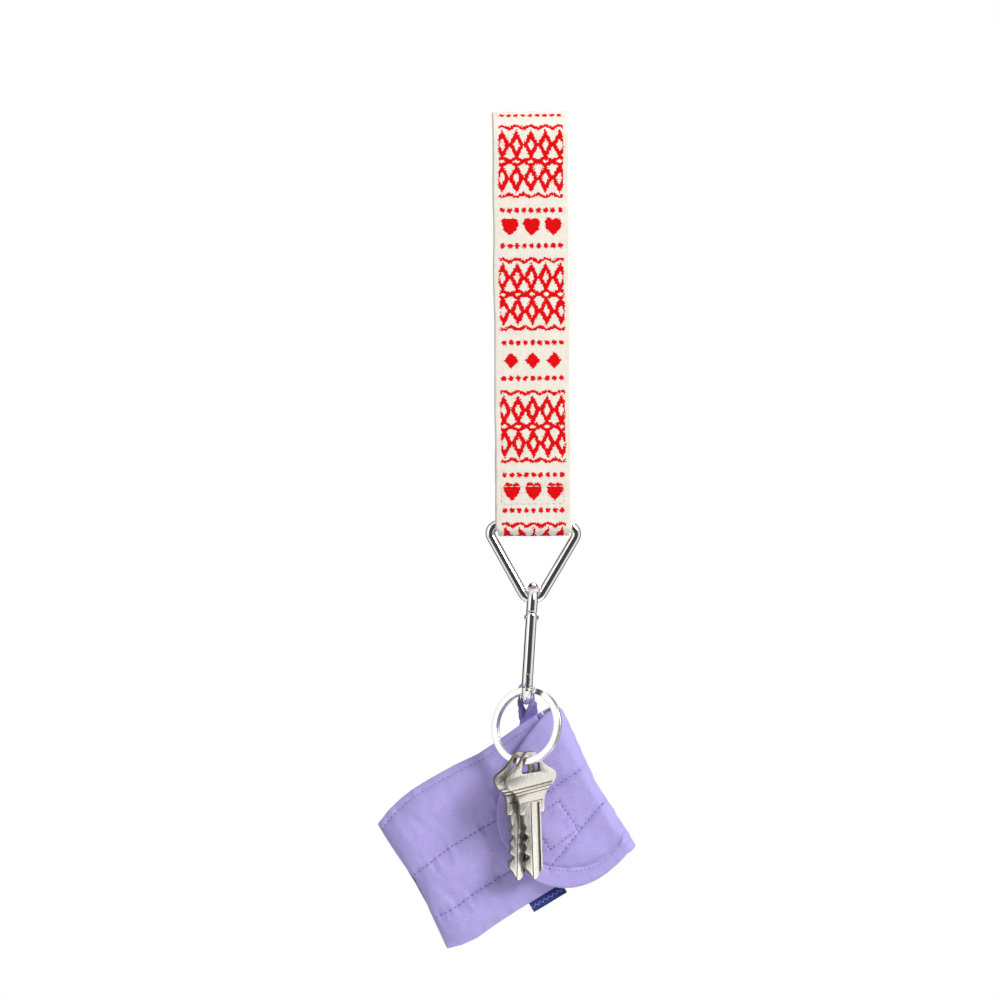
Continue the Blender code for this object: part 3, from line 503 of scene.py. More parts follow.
def bezier(p0, p1, p2, p3, count=60):
    t = np.linspace(0, 1, count + 1)[:, None]
    corners = [np.asarray(p, float) for p in (p0, p1, p2, p3)]
    weights = ((1 - t) ** 3, 3 * t * (1 - t) ** 2, 3 * t * t * (1 - t), t**3)
    return [tuple(p) for p in sum(w * c for w, c in zip(weights, corners))]


def belt(circles):
    """The closed anticlockwise path of a belt round circles (a, b, radius)."""
    count = len(circles)
    leaving = []
    for i in range(count):
        a0, b0, r0 = circles[i]
        a1, b1, r1 = circles[(i + 1) % count]
        along = math.atan2(b1 - b0, a1 - a0)
        leaving.append(along - math.acos((r0 - r1) / math.hypot(a1 - a0, b1 - b0)))
    points = []
    for i in range(1, count + 1):
        a, b, r = circles[i % count]
        start, end = leaving[i - 1], leaving[i % count]
        while end < start:
            end += 2 * math.pi
        points += arc((a, b), r, start, end)
    return points


def distances(points):
    steps = np.linalg.norm(np.diff(np.asarray(points, float), axis=0), axis=1)
    return np.concatenate([[0], np.cumsum(steps)])


def evenly(points, pitch, start=0.0, end=None):
    """Points at an even pitch along a path, between two distances along it."""
    path = np.asarray(points, float)
    along = distances(path)
    end = along[-1] if end is None else end
    where = np.linspace(start, end, max(2, round((end - start) / pitch)) + 1)
    return np.stack([np.interp(where, along, path[:, n]) for n in range(path.shape[1])], -1)


def smooth_route(points, count=12):
    """A Catmull-Rom curve through route points."""
    ends = [points[0], *points, points[-1]]
    made = [np.asarray(points[0], float)]
    for i in range(len(points) - 1):
        a, b, c, d = (np.asarray(p, float) for p in ends[i : i + 4])
        for k in range(1, count + 1):
            t = k / count
            made.append(0.5 * (2 * b + (c - a) * t + (2 * a - 5 * b + 4 * c - d) * t**2
                               + (3 * b - a - 3 * c + d) * t**3))
    return made


def ripples(x, y, seed, shortest, longest, waves=14):
    """Smooth uneven relief of about -1 to 1, from waves in seeded directions."""
    draw = np.random.default_rng(seed)
    total = np.zeros(np.broadcast(x, y).shape)
    for _ in range(waves):
        length = shortest * (longest / shortest) ** draw.random()
        heading, phase = draw.random(2) * 2 * math.pi
        total += np.sin((x * math.cos(heading) + y * math.sin(heading)) * 2 * math.pi / length + phase)
    return total / math.sqrt(waves)


def route_distance(u, v, route):
    """How far each point is from a route through (u, v) points."""
    best = np.full(np.broadcast(u, v).shape, 1e9)
    for (a0, b0), (a1, b1) in zip(route, route[1:]):
        du, dv = a1 - a0, b1 - b0
        t = np.clip(((u - a0) * du + (v - b0) * dv) / (du * du + dv * dv), 0, 1)
        best = np.minimum(best, np.hypot(u - a0 - t * du, v - b0 - t * dv))
    return best


def threads(name, runs, radius, look, body, stands_for=()):
    """Short stitches, each a bowed thread through world points, as one piece."""
    points, faces = [], []
    for run in runs:
        side = np.cross(run[-1] - run[0], (0.31, 0.52, 0.8))
        taper = lambda t: circle(radius * MM * (0.55 + 0.45 * math.sin(math.pi * t)), 6)
        made, quads = sweep(run, taper, side)
        faces += [[k + len(points) for k in quad] for quad in quads]
        points += made
    return piece(name, points, faces, look, body, stands_for)


def stitch_runs(route, pitch, share, outwards, lift):
    """Stitches of a share of each pitch along a route of world points, bowed outwards by lift."""
    runs = []
    total = distances(route)[-1]
    count = max(1, round(total / (pitch * MM)))
    for k in range(count):
        start = total * (k + (1 - share) / 2) / count
        run = evenly(route, total, start, start + total * share / count)
        run = np.linspace(run[0], run[-1], 6)
        bow = np.sin(np.linspace(0, math.pi, 6))[:, None]
        runs.append(run + np.asarray(outwards) * (bow * lift - 0.12) * MM)
    return runs


# --- webbing


def front_layer_y(z):
    low = BAR_FOLD_RADIUS + STRAP_THICK / 2
    high = HAND_RADIUS + STRAP_THICK / 2
    tilt = math.asin((high - low) / (BAR_DROP - HAND_RADIUS))
    return -low / math.cos(tilt) - (z + BAR_DROP) * math.tan(tilt)


def strap_route():
    """The webbing's middle in the Y-Z plane, from its folded-up tail, round the bar and over the hand."""
    hand = HAND_RADIUS + STRAP_THICK / 2
    fold = BAR_FOLD_RADIUS + STRAP_THICK / 2
    tilt = math.asin((hand - fold) / (BAR_DROP - HAND_RADIUS))
    slope = math.tan(tilt)
    bend = (front_layer_y(TAIL_FLARE) + LAYER_PITCH, TAIL_FLARE)
    turn = math.radians(22)
    meet = (fold * math.cos(turn), -BAR_DROP + fold * math.sin(turn))
    pull = 2.6
    flare = bezier(bend, (bend[0] + slope * pull, bend[1] - pull),
                   (meet[0] - math.sin(turn) * pull, meet[1] + math.cos(turn) * pull), meet)
    round_bar = arc((0, -BAR_DROP), fold, turn, -math.pi + tilt)
    over_hand = arc((0, -HAND_RADIUS), hand, math.pi + tilt, -tilt / 2)
    join = (front_layer_y(BACK_JOIN) + 2 * LAYER_PITCH, BACK_JOIN)
    end = (front_layer_y(BACK_END) + 2 * LAYER_PITCH, BACK_END)
    start = over_hand[-1]
    down = bezier(start, (start[0] - 1.0, start[1] - 45),
                  (join[0] - slope * 60, join[1] + 60), join)
    tail = [(front_layer_y(TAIL_TOP) + LAYER_PITCH, TAIL_TOP)]
    return tail + flare + round_bar[1:] + over_hand + down[1:] + [end]


def heart(x, y, broad, tall):
    """A heart on its side, with its point to the right."""
    p, q = y * 2.28 / tall, -x * 2.2 / broad
    return (p * p + q * q - 1) ** 3 < p * p * q**3


def disc(x, y, radius):
    return np.hypot(x, y) < radius


def lozenge(x, y, half_broad, half_tall):
    return np.abs(x) / half_broad + np.abs(y) / half_tall < 1


def zigzag(x, y, pitch, rise, half):
    """A line of this half thickness that climbs and falls by rise over each pitch."""
    return np.abs(y - rise * 2 * np.abs((x / pitch) % 1.0 - 0.5)) < half


def centred(x, pitch):
    """How far x is from the nearest whole number of pitches."""
    return (x / pitch - np.round(x / pitch)) * pitch


def lozenge_band(a, d):
    """Two rows of pierced lozenges between zigzags: a runs across the strap, d is from the band's middle."""
    column, row = centred(a, LOZENGE_PITCH), d - BAND_HALF / 2
    found = lozenge(column, row, 3.3, 6.4) & ~lozenge(column, row, 1.3, 2.6)
    found |= zigzag(a, d, LOZENGE_PITCH, 1.6, 0.85)
    return found | zigzag(a, d - BAND_HALF + 0.6, LOZENGE_PITCH, 1.6, 0.75)


def filler_row(a, h, hearts):
    """Between two bands: a row of hearts, or a row of small lozenges, with dots on both sides."""
    column = centred(a, 2 * FIGURE_HALF / 3)
    found = np.where(hearts, heart(h, column, 7.4, 7.0), lozenge(column, h, 3.2, 3.6))
    return found | disc(centred(a, LOZENGE_PITCH / 2), np.abs(h) - 7.4, 1.1)


def figure_at(a, s):
    """Whether the weave shows red at a across and s along, both in millimetres from the loop's top."""
    turn = (s - FIGURE_START) / FIGURE_REPEAT
    d = np.abs(turn - np.round(turn)) * FIGURE_REPEAT
    h = (turn - np.floor(turn) - 0.5) * FIGURE_REPEAT
    band = lozenge_band(a, d) & (d < BAND_HALF + 1.2)
    filler = filler_row(a, h, np.floor(turn) % 2 == 0) & (d > BAND_HALF + 1.6)
    return (band | filler) & (np.abs(a) < FIGURE_HALF)


def make_strap():
    """Webbing whose front is divided into the cells of its weave, so that the figure has woven edges."""
    path = evenly(strap_route(), WEAVE)
    rows, columns = len(path), round(STRAP_WIDTH / WEAVE) + 1
    tangent = np.gradient(path, axis=0)
    tangent /= np.linalg.norm(tangent, axis=1)[:, None]
    outward = np.stack([-tangent[:, 1], tangent[:, 0]], -1)
    across = np.linspace(-1, 1, columns) * STRAP_WIDTH / 2
    round_edge = np.sqrt(1 - np.clip((np.abs(across) - STRAP_WIDTH / 2 + 0.7) / 0.7, 0, 0.96) ** 2)
    top = int(np.argmax(path[:, 1]))
    along = (np.arange(rows) - top) * WEAVE
    under = np.clip((-BAR_DROP - 1.2 - path[:, 1]) / 1.4, 0, 1)
    wander = 0.16 * ripples(along, 0 * along, 3, 22, 60, 6)
    behind = np.clip((along - 25) / 22, 0, 1) * np.clip((125 - along) / 40, 0, 1)
    shift = wander + 1.15 * behind**2 * (3 - 2 * behind)
    ribbing = 0.05 * ripples(*np.meshgrid(along, across, indexing="ij"), 5, 6, 26)
    points = []
    for face in (1, -1):
        x = across[None, :] - np.sign(across)[None, :] * FOLD_NARROWS * under[:, None] + shift[:, None]
        half = face * (STRAP_THICK / 2) * round_edge[None, :] + ribbing
        y = path[:, :1] + outward[:, :1] * half
        z = path[:, 1:] + outward[:, 1:] * half
        points.append(np.stack([x, y, z], -1).reshape(-1, 3))
    count = rows * columns
    outer = grid_faces(rows, columns)
    inner = [face[::-1] for face in grid_faces(rows, columns, count)]
    rim = []
    for k in (0, columns - 1):
        rim += [[i * columns + k, (i + 1) * columns + k, (i + 1) * columns + k + count,
                 i * columns + k + count] for i in range(rows - 1)]
    for i in (0, rows - 1):
        rim += [[i * columns + k, i * columns + k + 1, i * columns + k + 1 + count,
                 i * columns + k + count] for k in range(columns - 1)]
    strap_frame = Matrix.Rotation(STRAP_LEAN, 4, "Y")
    world = to_world(strap_frame, np.vstack(points))
    obj = piece("printed_webbing", world, outer + inner + rim, "webbing", "wrist_strap",
                ["strap_webbing"])
    paint_figure(obj, along, across, rows, columns)
    make_box_stitches(strap_frame)


def paint_figure(obj, along, across, rows, columns):
    """The figure as a number on each face, and the cloth's own coordinates in millimetres as its UV map."""
    mesh = obj.data
    cells = (rows - 1) * (columns - 1)
    s = (along[:-1] + along[1:])[:, None] / 2
    a = (across[:-1] + across[1:])[None, :] / 2
    uneven = np.random.default_rng(8).uniform(-0.26, 0.26, (2, rows - 1, columns - 1))
    shown = figure_at(a + uneven[0], uneven[1] - s).reshape(-1)
    value = np.zeros(len(mesh.polygons), np.float32)
    value[:cells] = shown
    mesh.attributes.new("figure", "FLOAT", "FACE").data.foreach_set("value", value)
    cloth = np.stack(np.broadcast_arrays(across[None, :], along[:, None]), -1).reshape(-1, 2)
    cloth = np.vstack([cloth, cloth])
    add_cloth_map(mesh, cloth)


def make_box_stitches(strap_frame):
    slope = (front_layer_y(0) - front_layer_y(-BAR_DROP)) / BAR_DROP
    front = front_layer_y(STITCH_CENTRE) - STRAP_THICK / 2
    back = front_layer_y(STITCH_CENTRE) + 2 * LAYER_PITCH + STRAP_THICK / 2
    for name, face, side in (("front_box_stitching", front, -1), ("back_box_stitching", back, 1)):
        runs = []
        for level in (-STITCH_TALL, STITCH_TALL):
            ends = [(x, face + slope * level, STITCH_CENTRE + level) for x in (-STITCH_HALF, STITCH_HALF)]
            runs += stitch_runs(to_world(strap_frame, ends), 2.6, 0.78, (0, side, 0), 0.3)
        for x in (-STITCH_HALF, STITCH_HALF):
            ends = [(x, face + slope * z, STITCH_CENTRE + z) for z in (-STITCH_TALL, STITCH_TALL)]
            runs += stitch_runs(to_world(strap_frame, ends), 2.4, 0.78, (0, side, 0), 0.3)
        node = "box_stitch_front" if side < 0 else "box_stitch_back"
        threads(name, runs, 0.2, "thread", "wrist_strap", [node])


# --- triangle ring and carabiner


def make_triangle():
    half, radius, low, lean = 18.0, 3.4, 4.9, math.radians(29.8)
    inset = half - radius
    apex = -(inset + radius * (1 + math.sin(lean)) / math.cos(lean)) / math.tan(lean)
    circles = [(inset, -radius, radius), (-inset, -radius, radius),
               (0, apex + low / math.sin(lean), low)]
    path = evenly(belt(circles) + belt(circles)[:1], 0.5)[:-1]
    place = Matrix.Translation(PIVOT["triangle_swing"]) @ Matrix.Rotation(math.radians(0.7), 4, "Y")
    points, faces = sweep([(x, 0, z) for x, z in path], circle(TRIANGLE_WIRE, 36), (0, 1, 0), True)
    piece("bent_triangle_ring", to_world(place, points), faces, "steel", "triangle",
          ["triangle_ring"])


def hook_path():
    """The wire's centre line in (y, z), closed, from the top of the gate's run."""
    top_outer = TRIANGLE_WIRE + 0.3 + 2 * HOOK_WIRE
    low = top_outer - HOOK_LENGTH + HOOK_WIRE + 7.5
    circles = [(0, top_outer - HOOK_WIRE - 6.2, 6.2), (-1.5, low, 7.5), (1.5, low, 7.5)]
    path = belt(circles)
    return path[-1:] + path, top_outer


def dome(radius, sides, rise):
    """A section that closes over a round end: rise is how much of each end is domed, from 0 to 1."""

    def at(t):
        near = min(t, 1 - t) / rise
        shrink = math.sqrt(1 - (1 - min(near, 1)) ** 2) if near < 1 else 1
        return circle(radius * max(shrink, 0.06), sides)

    return at


def make_carabiner():
    path, top = hook_path()
    hook = Matrix.Translation(PIVOT["carabiner_swing"]) @ Matrix.Rotation(HOOK_LEAN, 4, "Y")
    straight = np.asarray(path[1]) - np.asarray(path[0])
    tilt = math.atan2(straight[0], -straight[1])
    rivet = (path[0][1] - (top - RIVET_DROP)) / math.cos(tilt)
    total = distances(path)[-1]
    twice = path + path[1:]
    start, end = rivet + GATE_BELOW + 0.3, total + rivet - GATE_ABOVE - 0.3
    line = evenly(twice, 0.35, start, end)
    length = end - start
    points, faces = sweep([(0, y, z) for y, z in line], dome(HOOK_WIRE, 36, 0.8 / length), (1, 0, 0))
    piece("carabiner_wire", to_world(hook, points), faces, "steel", "carabiner",
          ["carabiner_body"])
    gate_place = Matrix.Translation(PIVOT["gate_open"]) @ Matrix.Rotation(HOOK_LEAN, 4, "Y")
    gate_place = gate_place @ Matrix.Rotation(math.radians(-4.843), 4, "X")
    make_tongues(gate_place)
    make_gate(gate_place)


def plate(name, outline, half, place, look, body):
    """A flat plate in the gate's plane. The outline's points are (along the gate, out to the front)."""
    points = [(x, -out, -along) for x in (-half, half) for along, out in outline]
    obj = piece(name, to_world(place, points), prism_faces(len(outline)), look, body, smooth=False)
    bevel = obj.modifiers.new("edge", "BEVEL")
    bevel.width, bevel.segments = 0.12 * MM, 2
    return bake(obj)


def make_tongues(place):
    hinge = [(-3.5, -1.3), (1.7, -1.3), (1.7, -0.1), (1.35, 0.6), (0.8, 1.15), (0.0, 1.4), (-3.5, 1.4)]
    nose = [(29.6, 0.65), (25.0, 0.65), (25.0, -1.3), (23.9, -1.3), (23.9, 1.7), (29.6, 1.7)]
    plate("hinge_tongue", hinge, 0.7, place, "steel", "carabiner")
    plate("nose_tongue", nose, 0.7, place, "steel", "carabiner")


def make_gate(place):
    """A round bar, slotted where it pivots and where it drops over the nose."""
    length = GATE_ABOVE + GATE_BELOW
    line = [(0, 0, GATE_ABOVE - length * k / 60) for k in range(61)]
    ease = 0.35 / length

    def section(t):
        near = min(min(t, 1 - t) / ease, 1)
        return circle(HOOK_WIRE - 0.35 * (1 - math.sqrt(1 - (1 - near) ** 2)), 36)

    points, faces = sweep(line, section, (1, 0, 0))
    gate = piece("carabiner_gate_bar", to_world(place, points), faces, "steel", "gate",
                 ["carabiner_gate"])
    slots = ((-1.7, 3.0, -3.2, 3.0), (-3.0, 3.0, -GATE_BELOW - 1, -23.6))
    for y0, y1, z0, z1 in slots:
        cut_away(gate, place, rectangle(-0.95, 0.95, z0, z1), y0, y1)
    gate.data.set_sharp_from_angle(angle=math.radians(35))


# --- split ring and keys


def ring_drop():
    return RING_OUTER - RING_BROAD - HOOK_WIRE - 0.3


def make_split_ring():
    """Two turns of flat wire that cross over once, just past the top."""
    cross, done, apart = math.radians(14), math.radians(34), math.radians(2)
    start, end = done + apart, cross - apart + 4 * math.pi
    crossing = cross + 2 * math.pi
    points = []
    for turned in np.linspace(start, end, 500):
        t = min(max((turned - crossing) / (done - cross), 0), 1)
        layer = RING_PITCH * (t * t * (3 - 2 * t) - 0.5)
        radius = RING_OUTER - RING_BROAD / 2
        points.append((radius * math.sin(turned), layer, radius * math.cos(turned) - ring_drop()))
    place = Matrix.Translation(PIVOT["ring_swing"]) @ RING_TURN
    made, faces = sweep(points, rounded(RING_BROAD, RING_LAYER, 0.22), (0, 1, 0))
    ring = piece("coiled_split_ring", to_world(place, made), faces, "ring", "ring",
                 ["split_ring"])
    ring.data.set_sharp_from_angle(angle=math.radians(50))


def round_corners(corners, steps=4):
    """An outline whose corners, (x, z, radius), each become a curve of about that radius."""
    made = []
    outline = [np.array(corner[:2], float) for corner in corners]
    for k, corner in enumerate(outline):
        radius = corners[k][2]
        before = outline[k - 1] - corner
        after = outline[(k + 1) % len(outline)] - corner
        reach = min(radius, 0.48 * np.linalg.norm(before), 0.48 * np.linalg.norm(after))
        if reach <= 0:
            made.append(tuple(corner))
            continue
        p0 = corner + before / np.linalg.norm(before) * reach
        p2 = corner + after / np.linalg.norm(after) * reach
        for t in np.linspace(0, 1, steps + 1):
            made.append(tuple((1 - t) ** 2 * p0 + 2 * t * (1 - t) * corner + t * t * p2))
    return made


def key_blank():
    """The key's outline from the top, down its right side and up its cut left edge, with corner radii."""
    right = [(2.3, 0, 1.0), (6.3, -5.8, 2.5), (11.2, -9.0, 1.5), (12.1, -10.4, 1.5), (12.1, -12.4, 2.0),
             (10.4, -15.0, 2.0), (7.6, -16.4, 2.5), (6.0, -20.6, 2.0), (5.8, -26.1, 0.3),
             (4.2, -26.1, 0.3), (4.2, -50.6, 1.0), (1.0, -54.4, 0.6)]
    left = [(-0.2, -54.4, 0.6), (-2.6, -50.4, 0.5), (-4.1, -48.9, 0.8)]
    for place, depth in ((44.6, 2.3), (40.2, 1.1), (35.9, 2.1), (31.6, 1.2)):
        left += [(-3.95, -place - 1.9, 0.5), (-4.2 + depth, -place - 0.5, 0.4),
                 (-4.2 + depth, -place + 0.5, 0.4), (-3.95, -place + 1.9, 0.5)]
    left += [(-4.2, -26.1, 0.3), (-5.8, -26.1, 0.3)]
    left += [(-x, z, r) for x, z, r in right[:8][::-1]]
    return round_corners(right + left)


def paint_recess_shade(key, place, half):
    """Painted shade: every face off the key's two flat sides, the edge walls and the walls and floors of the
    cuts, gets the dark brown metal, and the flat faces keep the nickel.
    """
    key.data.materials.clear()
    key.data.materials.append(LOOK["nickel"])
    key.data.materials.append(LOOK["edge_shade"])
    inverse = (key.matrix_world.inverted() @ place).inverted()
    for face in key.data.polygons:
        depth = abs((inverse @ face.center).y) / MM
        face.material_index = int(depth < half - 0.05)


def make_key(name, body, along, roll):
    inner = RING_OUTER - RING_BROAD
    turned = math.pi - along / inner
    touch = Vector((inner * math.sin(turned), 0, inner * math.cos(turned) + KEY_PLAY + KEY_STRUT)) * MM
    upright = RING_TURN.inverted() @ KEY_TURN
    place = Matrix.Translation(PIVOT[name + "_slide"]) @ RING_TURN @ Matrix.Translation(touch)
    place = place @ upright @ Matrix.Rotation(roll, 4, "Y")
    half = KEY_THICK / 2
    points, faces = slab(key_blank(), -half, half)
    key = piece(name + "_cut_blank", to_world(place, points), faces, "nickel", body, [name])
    hole = [(-3.2, -1.9, 0.4), (3.2, -1.9, 0.4), (3.8, -2.6, 0.4), (4.6, -8.0, 0.8), (4.0, -8.9, 0.5),
            (-4.0, -8.9, 0.5), (-4.6, -8.0, 0.8), (-3.8, -2.6, 0.4)]
    cut_away(key, place, round_corners(hole), -2, 2)
    for x0, x1 in ((-0.75, -0.35), (2.3, 3.5)):
        cut_away(key, place, rectangle(x0, x1, -57, -21.5), -2, -0.25)
    cut_away(key, place, rectangle(-1.6, 0.4, -57, -21.5), 0.42, 2)
    for level in (-14.7, -16.1, -17.4):
        slanted = [(-9.8, level - 0.75), (9.8, level + 0.75), (9.8, level + 1.2), (-9.8, level - 0.3)]
        cut_away(key, place, slanted, -2, -0.66)
    cut_away(key, place, [(-5.2, -21.4), (5.2, -21.0), (5.2, -20.6), (-5.2, -21.0)], -2, -0.75)
    # Painted shade: the key's edge walls and cuts are made dark brown.
    paint_recess_shade(key, place, half)
    bevel = key.modifiers.new("edge", "BEVEL")
    bevel.width, bevel.segments, bevel.angle_limit = 0.12 * MM, 2, math.radians(50)
    bake(key)
    key.data.shade_smooth()
    key.data.set_sharp_from_angle(angle=math.radians(32))


# --- pouch


def pouch_matrix():
    """u, v and w, as the pouch's own x, y and z, in the row frame."""
    corner = Matrix.Translation(PIVOT["pouch_swing"] + POUCH_CORNER)
    axes = Matrix(((1, 0, 0, 0), (0, 0, -1, 0), (0, 1, 0, 0), (0, 0, 0, 1)))
    return corner @ Matrix.Rotation(POUCH_TURN, 4, "Y") @ axes


def through(points, x):
    """The height at x of a line through these points."""
    return np.interp(x, *zip(*points))


def line_share(line):
    """Where a line across the panel lies, from 0 at its top to 1 at its bottom."""
    return (PANEL_TOP - line) / PANEL_TALL


def puffed(v_share, lines):
    """0 at each line across the panel and up to 1 between them."""
    height = np.zeros(np.shape(v_share))
    for low, high in zip(lines, lines[1:]):
        t = np.clip((v_share - low) / (high - low), 0, 1)
        inside = (v_share >= low) & (v_share <= high)
        height = np.where(inside, np.sin(math.pi * t) ** 0.62, height)
    return height


def body_surface(side, columns, rows):
    """One face of the pouch as points (u, v, w), from the mouth to the closed end."""
    a, b = np.meshgrid(np.linspace(0, 1, columns), np.linspace(0, 1, rows), indexing="ij")
    a = np.sin(a * math.pi / 2) ** 0.92
    start = -9.0 if side > 0 else -6.4
    closed_end = through(CLOSED_END, PANEL_TOP - PANEL_TALL * b)
    u = start + (closed_end - start) * a
    upper, lower = through(TOP_SEAM, u), through(LOW_SEAM, u)
    v = upper + (lower - upper) * b
    lines = [0.0, *(line_share(line) for line in QUILT_LINES), 1.0]
    puff = puffed(b, lines)
    inward = np.minimum(v - lower, upper - v)
    rim = 1 - (1 - np.clip(inward / 12, 0, 1)) ** 2.4
    half = SEAM_HALF + (3.1 - SEAM_HALF) * rim + (CREST_HALF - 3.1) * puff * np.clip(rim * 1.2, 0, 1)
    near = np.min([np.abs(b - line) for line in lines[1:3]], axis=0) * PANEL_TALL
    pucker = np.exp(-near / 2.6) * ripples(u, v * 0.12, 11 + side, 3.2, 7.5, 10)
    edge_pucker = np.exp(-inward / 4.0) * ripples(u, v * 0.2, 21 + side, 3.5, 9, 10)
    soft = ripples(u, v, 31 + side, 14, 42)
    crumple = ripples(u, v, 35 + side, 4.5, 13, 22)
    half += 0.34 * pucker + 0.22 * edge_pucker * np.clip(inward, 0, 1) + (0.34 * soft + 0.1 * crumple) * rim
    hem = np.exp(-((inward - 2.8) / 0.5) ** 2) * (v > -20)
    half -= 0.45 * hem
    to_end = np.clip((u - closed_end) / 9.0, 0, 1)
    half *= np.sqrt(np.clip(1 - (1 - to_end) ** 2, 0.0, 1)) * 0.9 + 0.1
    return u, v, side * np.maximum(half, 0.42)


def make_pouch_body(place):
    columns, rows = 150, 130
    front = body_surface(1, columns, rows)
    back = body_surface(-1, columns, rows)
    loop = [np.concatenate([f, k[:, ::-1]], axis=1) for f, k in zip(front, back)]
    points = np.stack(loop, -1)
    around = points.shape[1]
    faces = grid_faces(columns, around, round_columns=True)
    last = (columns - 1) * around
    faces += [[last + k, last + k + 1, last + around - 2 - k, last + around - 1 - k]
              for k in range(rows - 1)]
    obj = piece("quilted_pouch_shell", to_world(place, points), faces, "nylon", "pouch",
                ["pouch_outer_fabric", "pouch_wadding", "upper_seam_tape", "lower_seam_tape"])
    thicken(obj, 0.3)
    quilt_body(place, front, back, columns, rows)
    stitch_top_hem(place, front)
    make_pouch_lining(place, points)


def make_pouch_lining(place, shell):
    """The inner skin, which follows the shell from inside."""
    shares = np.array((1, 1, 0.62))
    inner = shell[::3, ::4] * shares
    inner[..., 1] = -35 + (inner[..., 1] + 35) * 0.965
    inner = inner[:-2]
    columns, around = inner.shape[:2]
    faces = grid_faces(columns, around, round_columns=True)
    faces.append([(columns - 1) * around + k for k in range(around)])
    lining = piece("smooth_pouch_lining", to_world(place, inner), faces, "lining", "pouch",
                   ["pouch_lining"])
    thicken(lining, 0.25)


def quilt_body(place, front, back, columns, rows):
    """The rows of quilting, sunk in the shell's creases."""
    for side, (u, v, w), word in ((1, front, "front"), (-1, back, "back")):
        for number, line in enumerate(QUILT_LINES):
            k = round(line_share(line) * (rows - 1))
            route = np.stack([u[:, k], v[:, k], w[:, k]], -1)[: columns - 12]
            runs = stitch_runs(to_world(place, route), 2.3, 0.66, (0, -side, 0), 0.26)
            node = f"{word}_quilt_stitch_{number + 1}"
            threads(f"{word}_quilting_{number + 1}", runs, 0.22, "quilting", "pouch",
                    [node])


def stitch_top_hem(place, front):
    """The row along the front's upper hem."""
    u, v, w = front
    route = []
    for across, down, out in zip(u[6:-4], v[6:-4], w[6:-4]):
        level = down[0] - 2.8
        route.append((across[0], level, -np.interp(-level, -down, -out) - 0.05))
    runs = stitch_runs(to_world(place, route), 2.1, 0.6, (0, -1, 0), 0.24)
    threads("upper_hem_stitching", runs, 0.15, "quilting", "pouch")


def flap_edges(u):
    """The flap's upper and lower edge in v, at u."""
    t = np.clip((FOLD_CENTRE - u) / (FOLD_CENTRE - FLAP_TIP), 0, 1)
    upper = -2.6 - 18.0 * t**1.15 - 18.5 * (1 - np.sqrt(1 - t**3.0))
    lower = -71.2 - 13.5 * t * (1 - t) + 22.5 * (1 - np.sqrt(1 - t**3.4))
    return upper, lower


def body_half(v):
    """Half the thickness of the pouch under the flap."""
    inward = np.minimum(PANEL_TOP - v, v - PANEL_TOP + PANEL_TALL)
    return 1.6 + 3.2 * (1 - (1 - np.clip(inward / 14, 0, 1)) ** 2.4)


HEM = [(-2, -63.2), (-7.1, -66.6), (-12.5, -68.2), (-18.1, -68.6), (-24, -67.6), (-29.8, -64.7),
       (-35.5, -60.6), (-39.9, -56.3)]
CREASE = [(u - 0.4, v + 1.3) for u, v in HEM]
LINE_A = [(-4, -30.3), (-14, -30.8), (-25, -31.6), (-40, -32.4)]
LINE_B = [(-3, -47.2), (-14, -50.6), (-26, -55.2), (-38.2, -59.6)]
PATCH_BOX = [(-33.4, -38.0), (-19.2, -36.6), (-18.4, -51.2), (-33.0, -52.6), (-33.4, -38.0)]


def flap_height(u, v):
    """How far the flap's front stands out, creased along its seams and puffed between them."""
    base = body_half(v) + FLAP_RISE - 0.35
    upper, lower = flap_edges(u)
    edge = np.minimum(upper - v, v - lower)
    tip = (u - FLAP_TIP) * 0.9
    edge = np.clip(np.minimum(edge, np.where(u < -30, tip + 0.35, 99)), 0, 99)
    seam = np.minimum(route_distance(u, v, LINE_A), route_distance(u, v, LINE_B))
    hem = route_distance(u, v, CREASE)
    patch = route_distance(u, v, PATCH_BOX)
    height = base + 0.85 * (1 - np.exp(-seam / 3.0)) * (1 - np.exp(-hem / 2.6))
    height -= 0.5 * np.exp(-((hem / 0.8) ** 2)) + 0.42 * np.exp(-((seam / 0.9) ** 2))
    height -= 0.30 * np.exp(-((patch / 0.7) ** 2))
    height += 0.13 * np.exp(-seam / 2.2) * ripples(u, v * 0.2, 41, 3, 7, 10)
    height += 0.13 * np.exp(-hem / 2.0) * ripples(u, v, 43, 3, 6, 10)
    height += 0.16 * np.exp(-patch / 2.2) * ripples(u, v, 44, 3, 6, 10)
    loose = 0.26 * ripples(u, v, 45, 12, 34) + 0.08 * ripples(u, v, 46, 4.5, 13, 22)
    height += loose * np.clip((u + 48) / 8, 0, 1)
    return height - 0.9 * (1 - np.sqrt(1 - (1 - np.clip(edge / 1.5, 0, 1)) ** 2))


def flap_front(columns, rows):
    """The flap's own run, from the fold to its free edge."""
    share = np.sin(math.pi / 2 * np.linspace(0, 1, columns))
    u = FOLD_CENTRE + (FLAP_TIP - FOLD_CENTRE) * share
    upper, lower = flap_edges(u)
    b = np.linspace(0, 1, rows)
    v = upper[:, None] + (lower - upper)[:, None] * b[None, :]
    u = np.repeat(u[:, None], rows, axis=1)
    return u, v, flap_height(u, v)


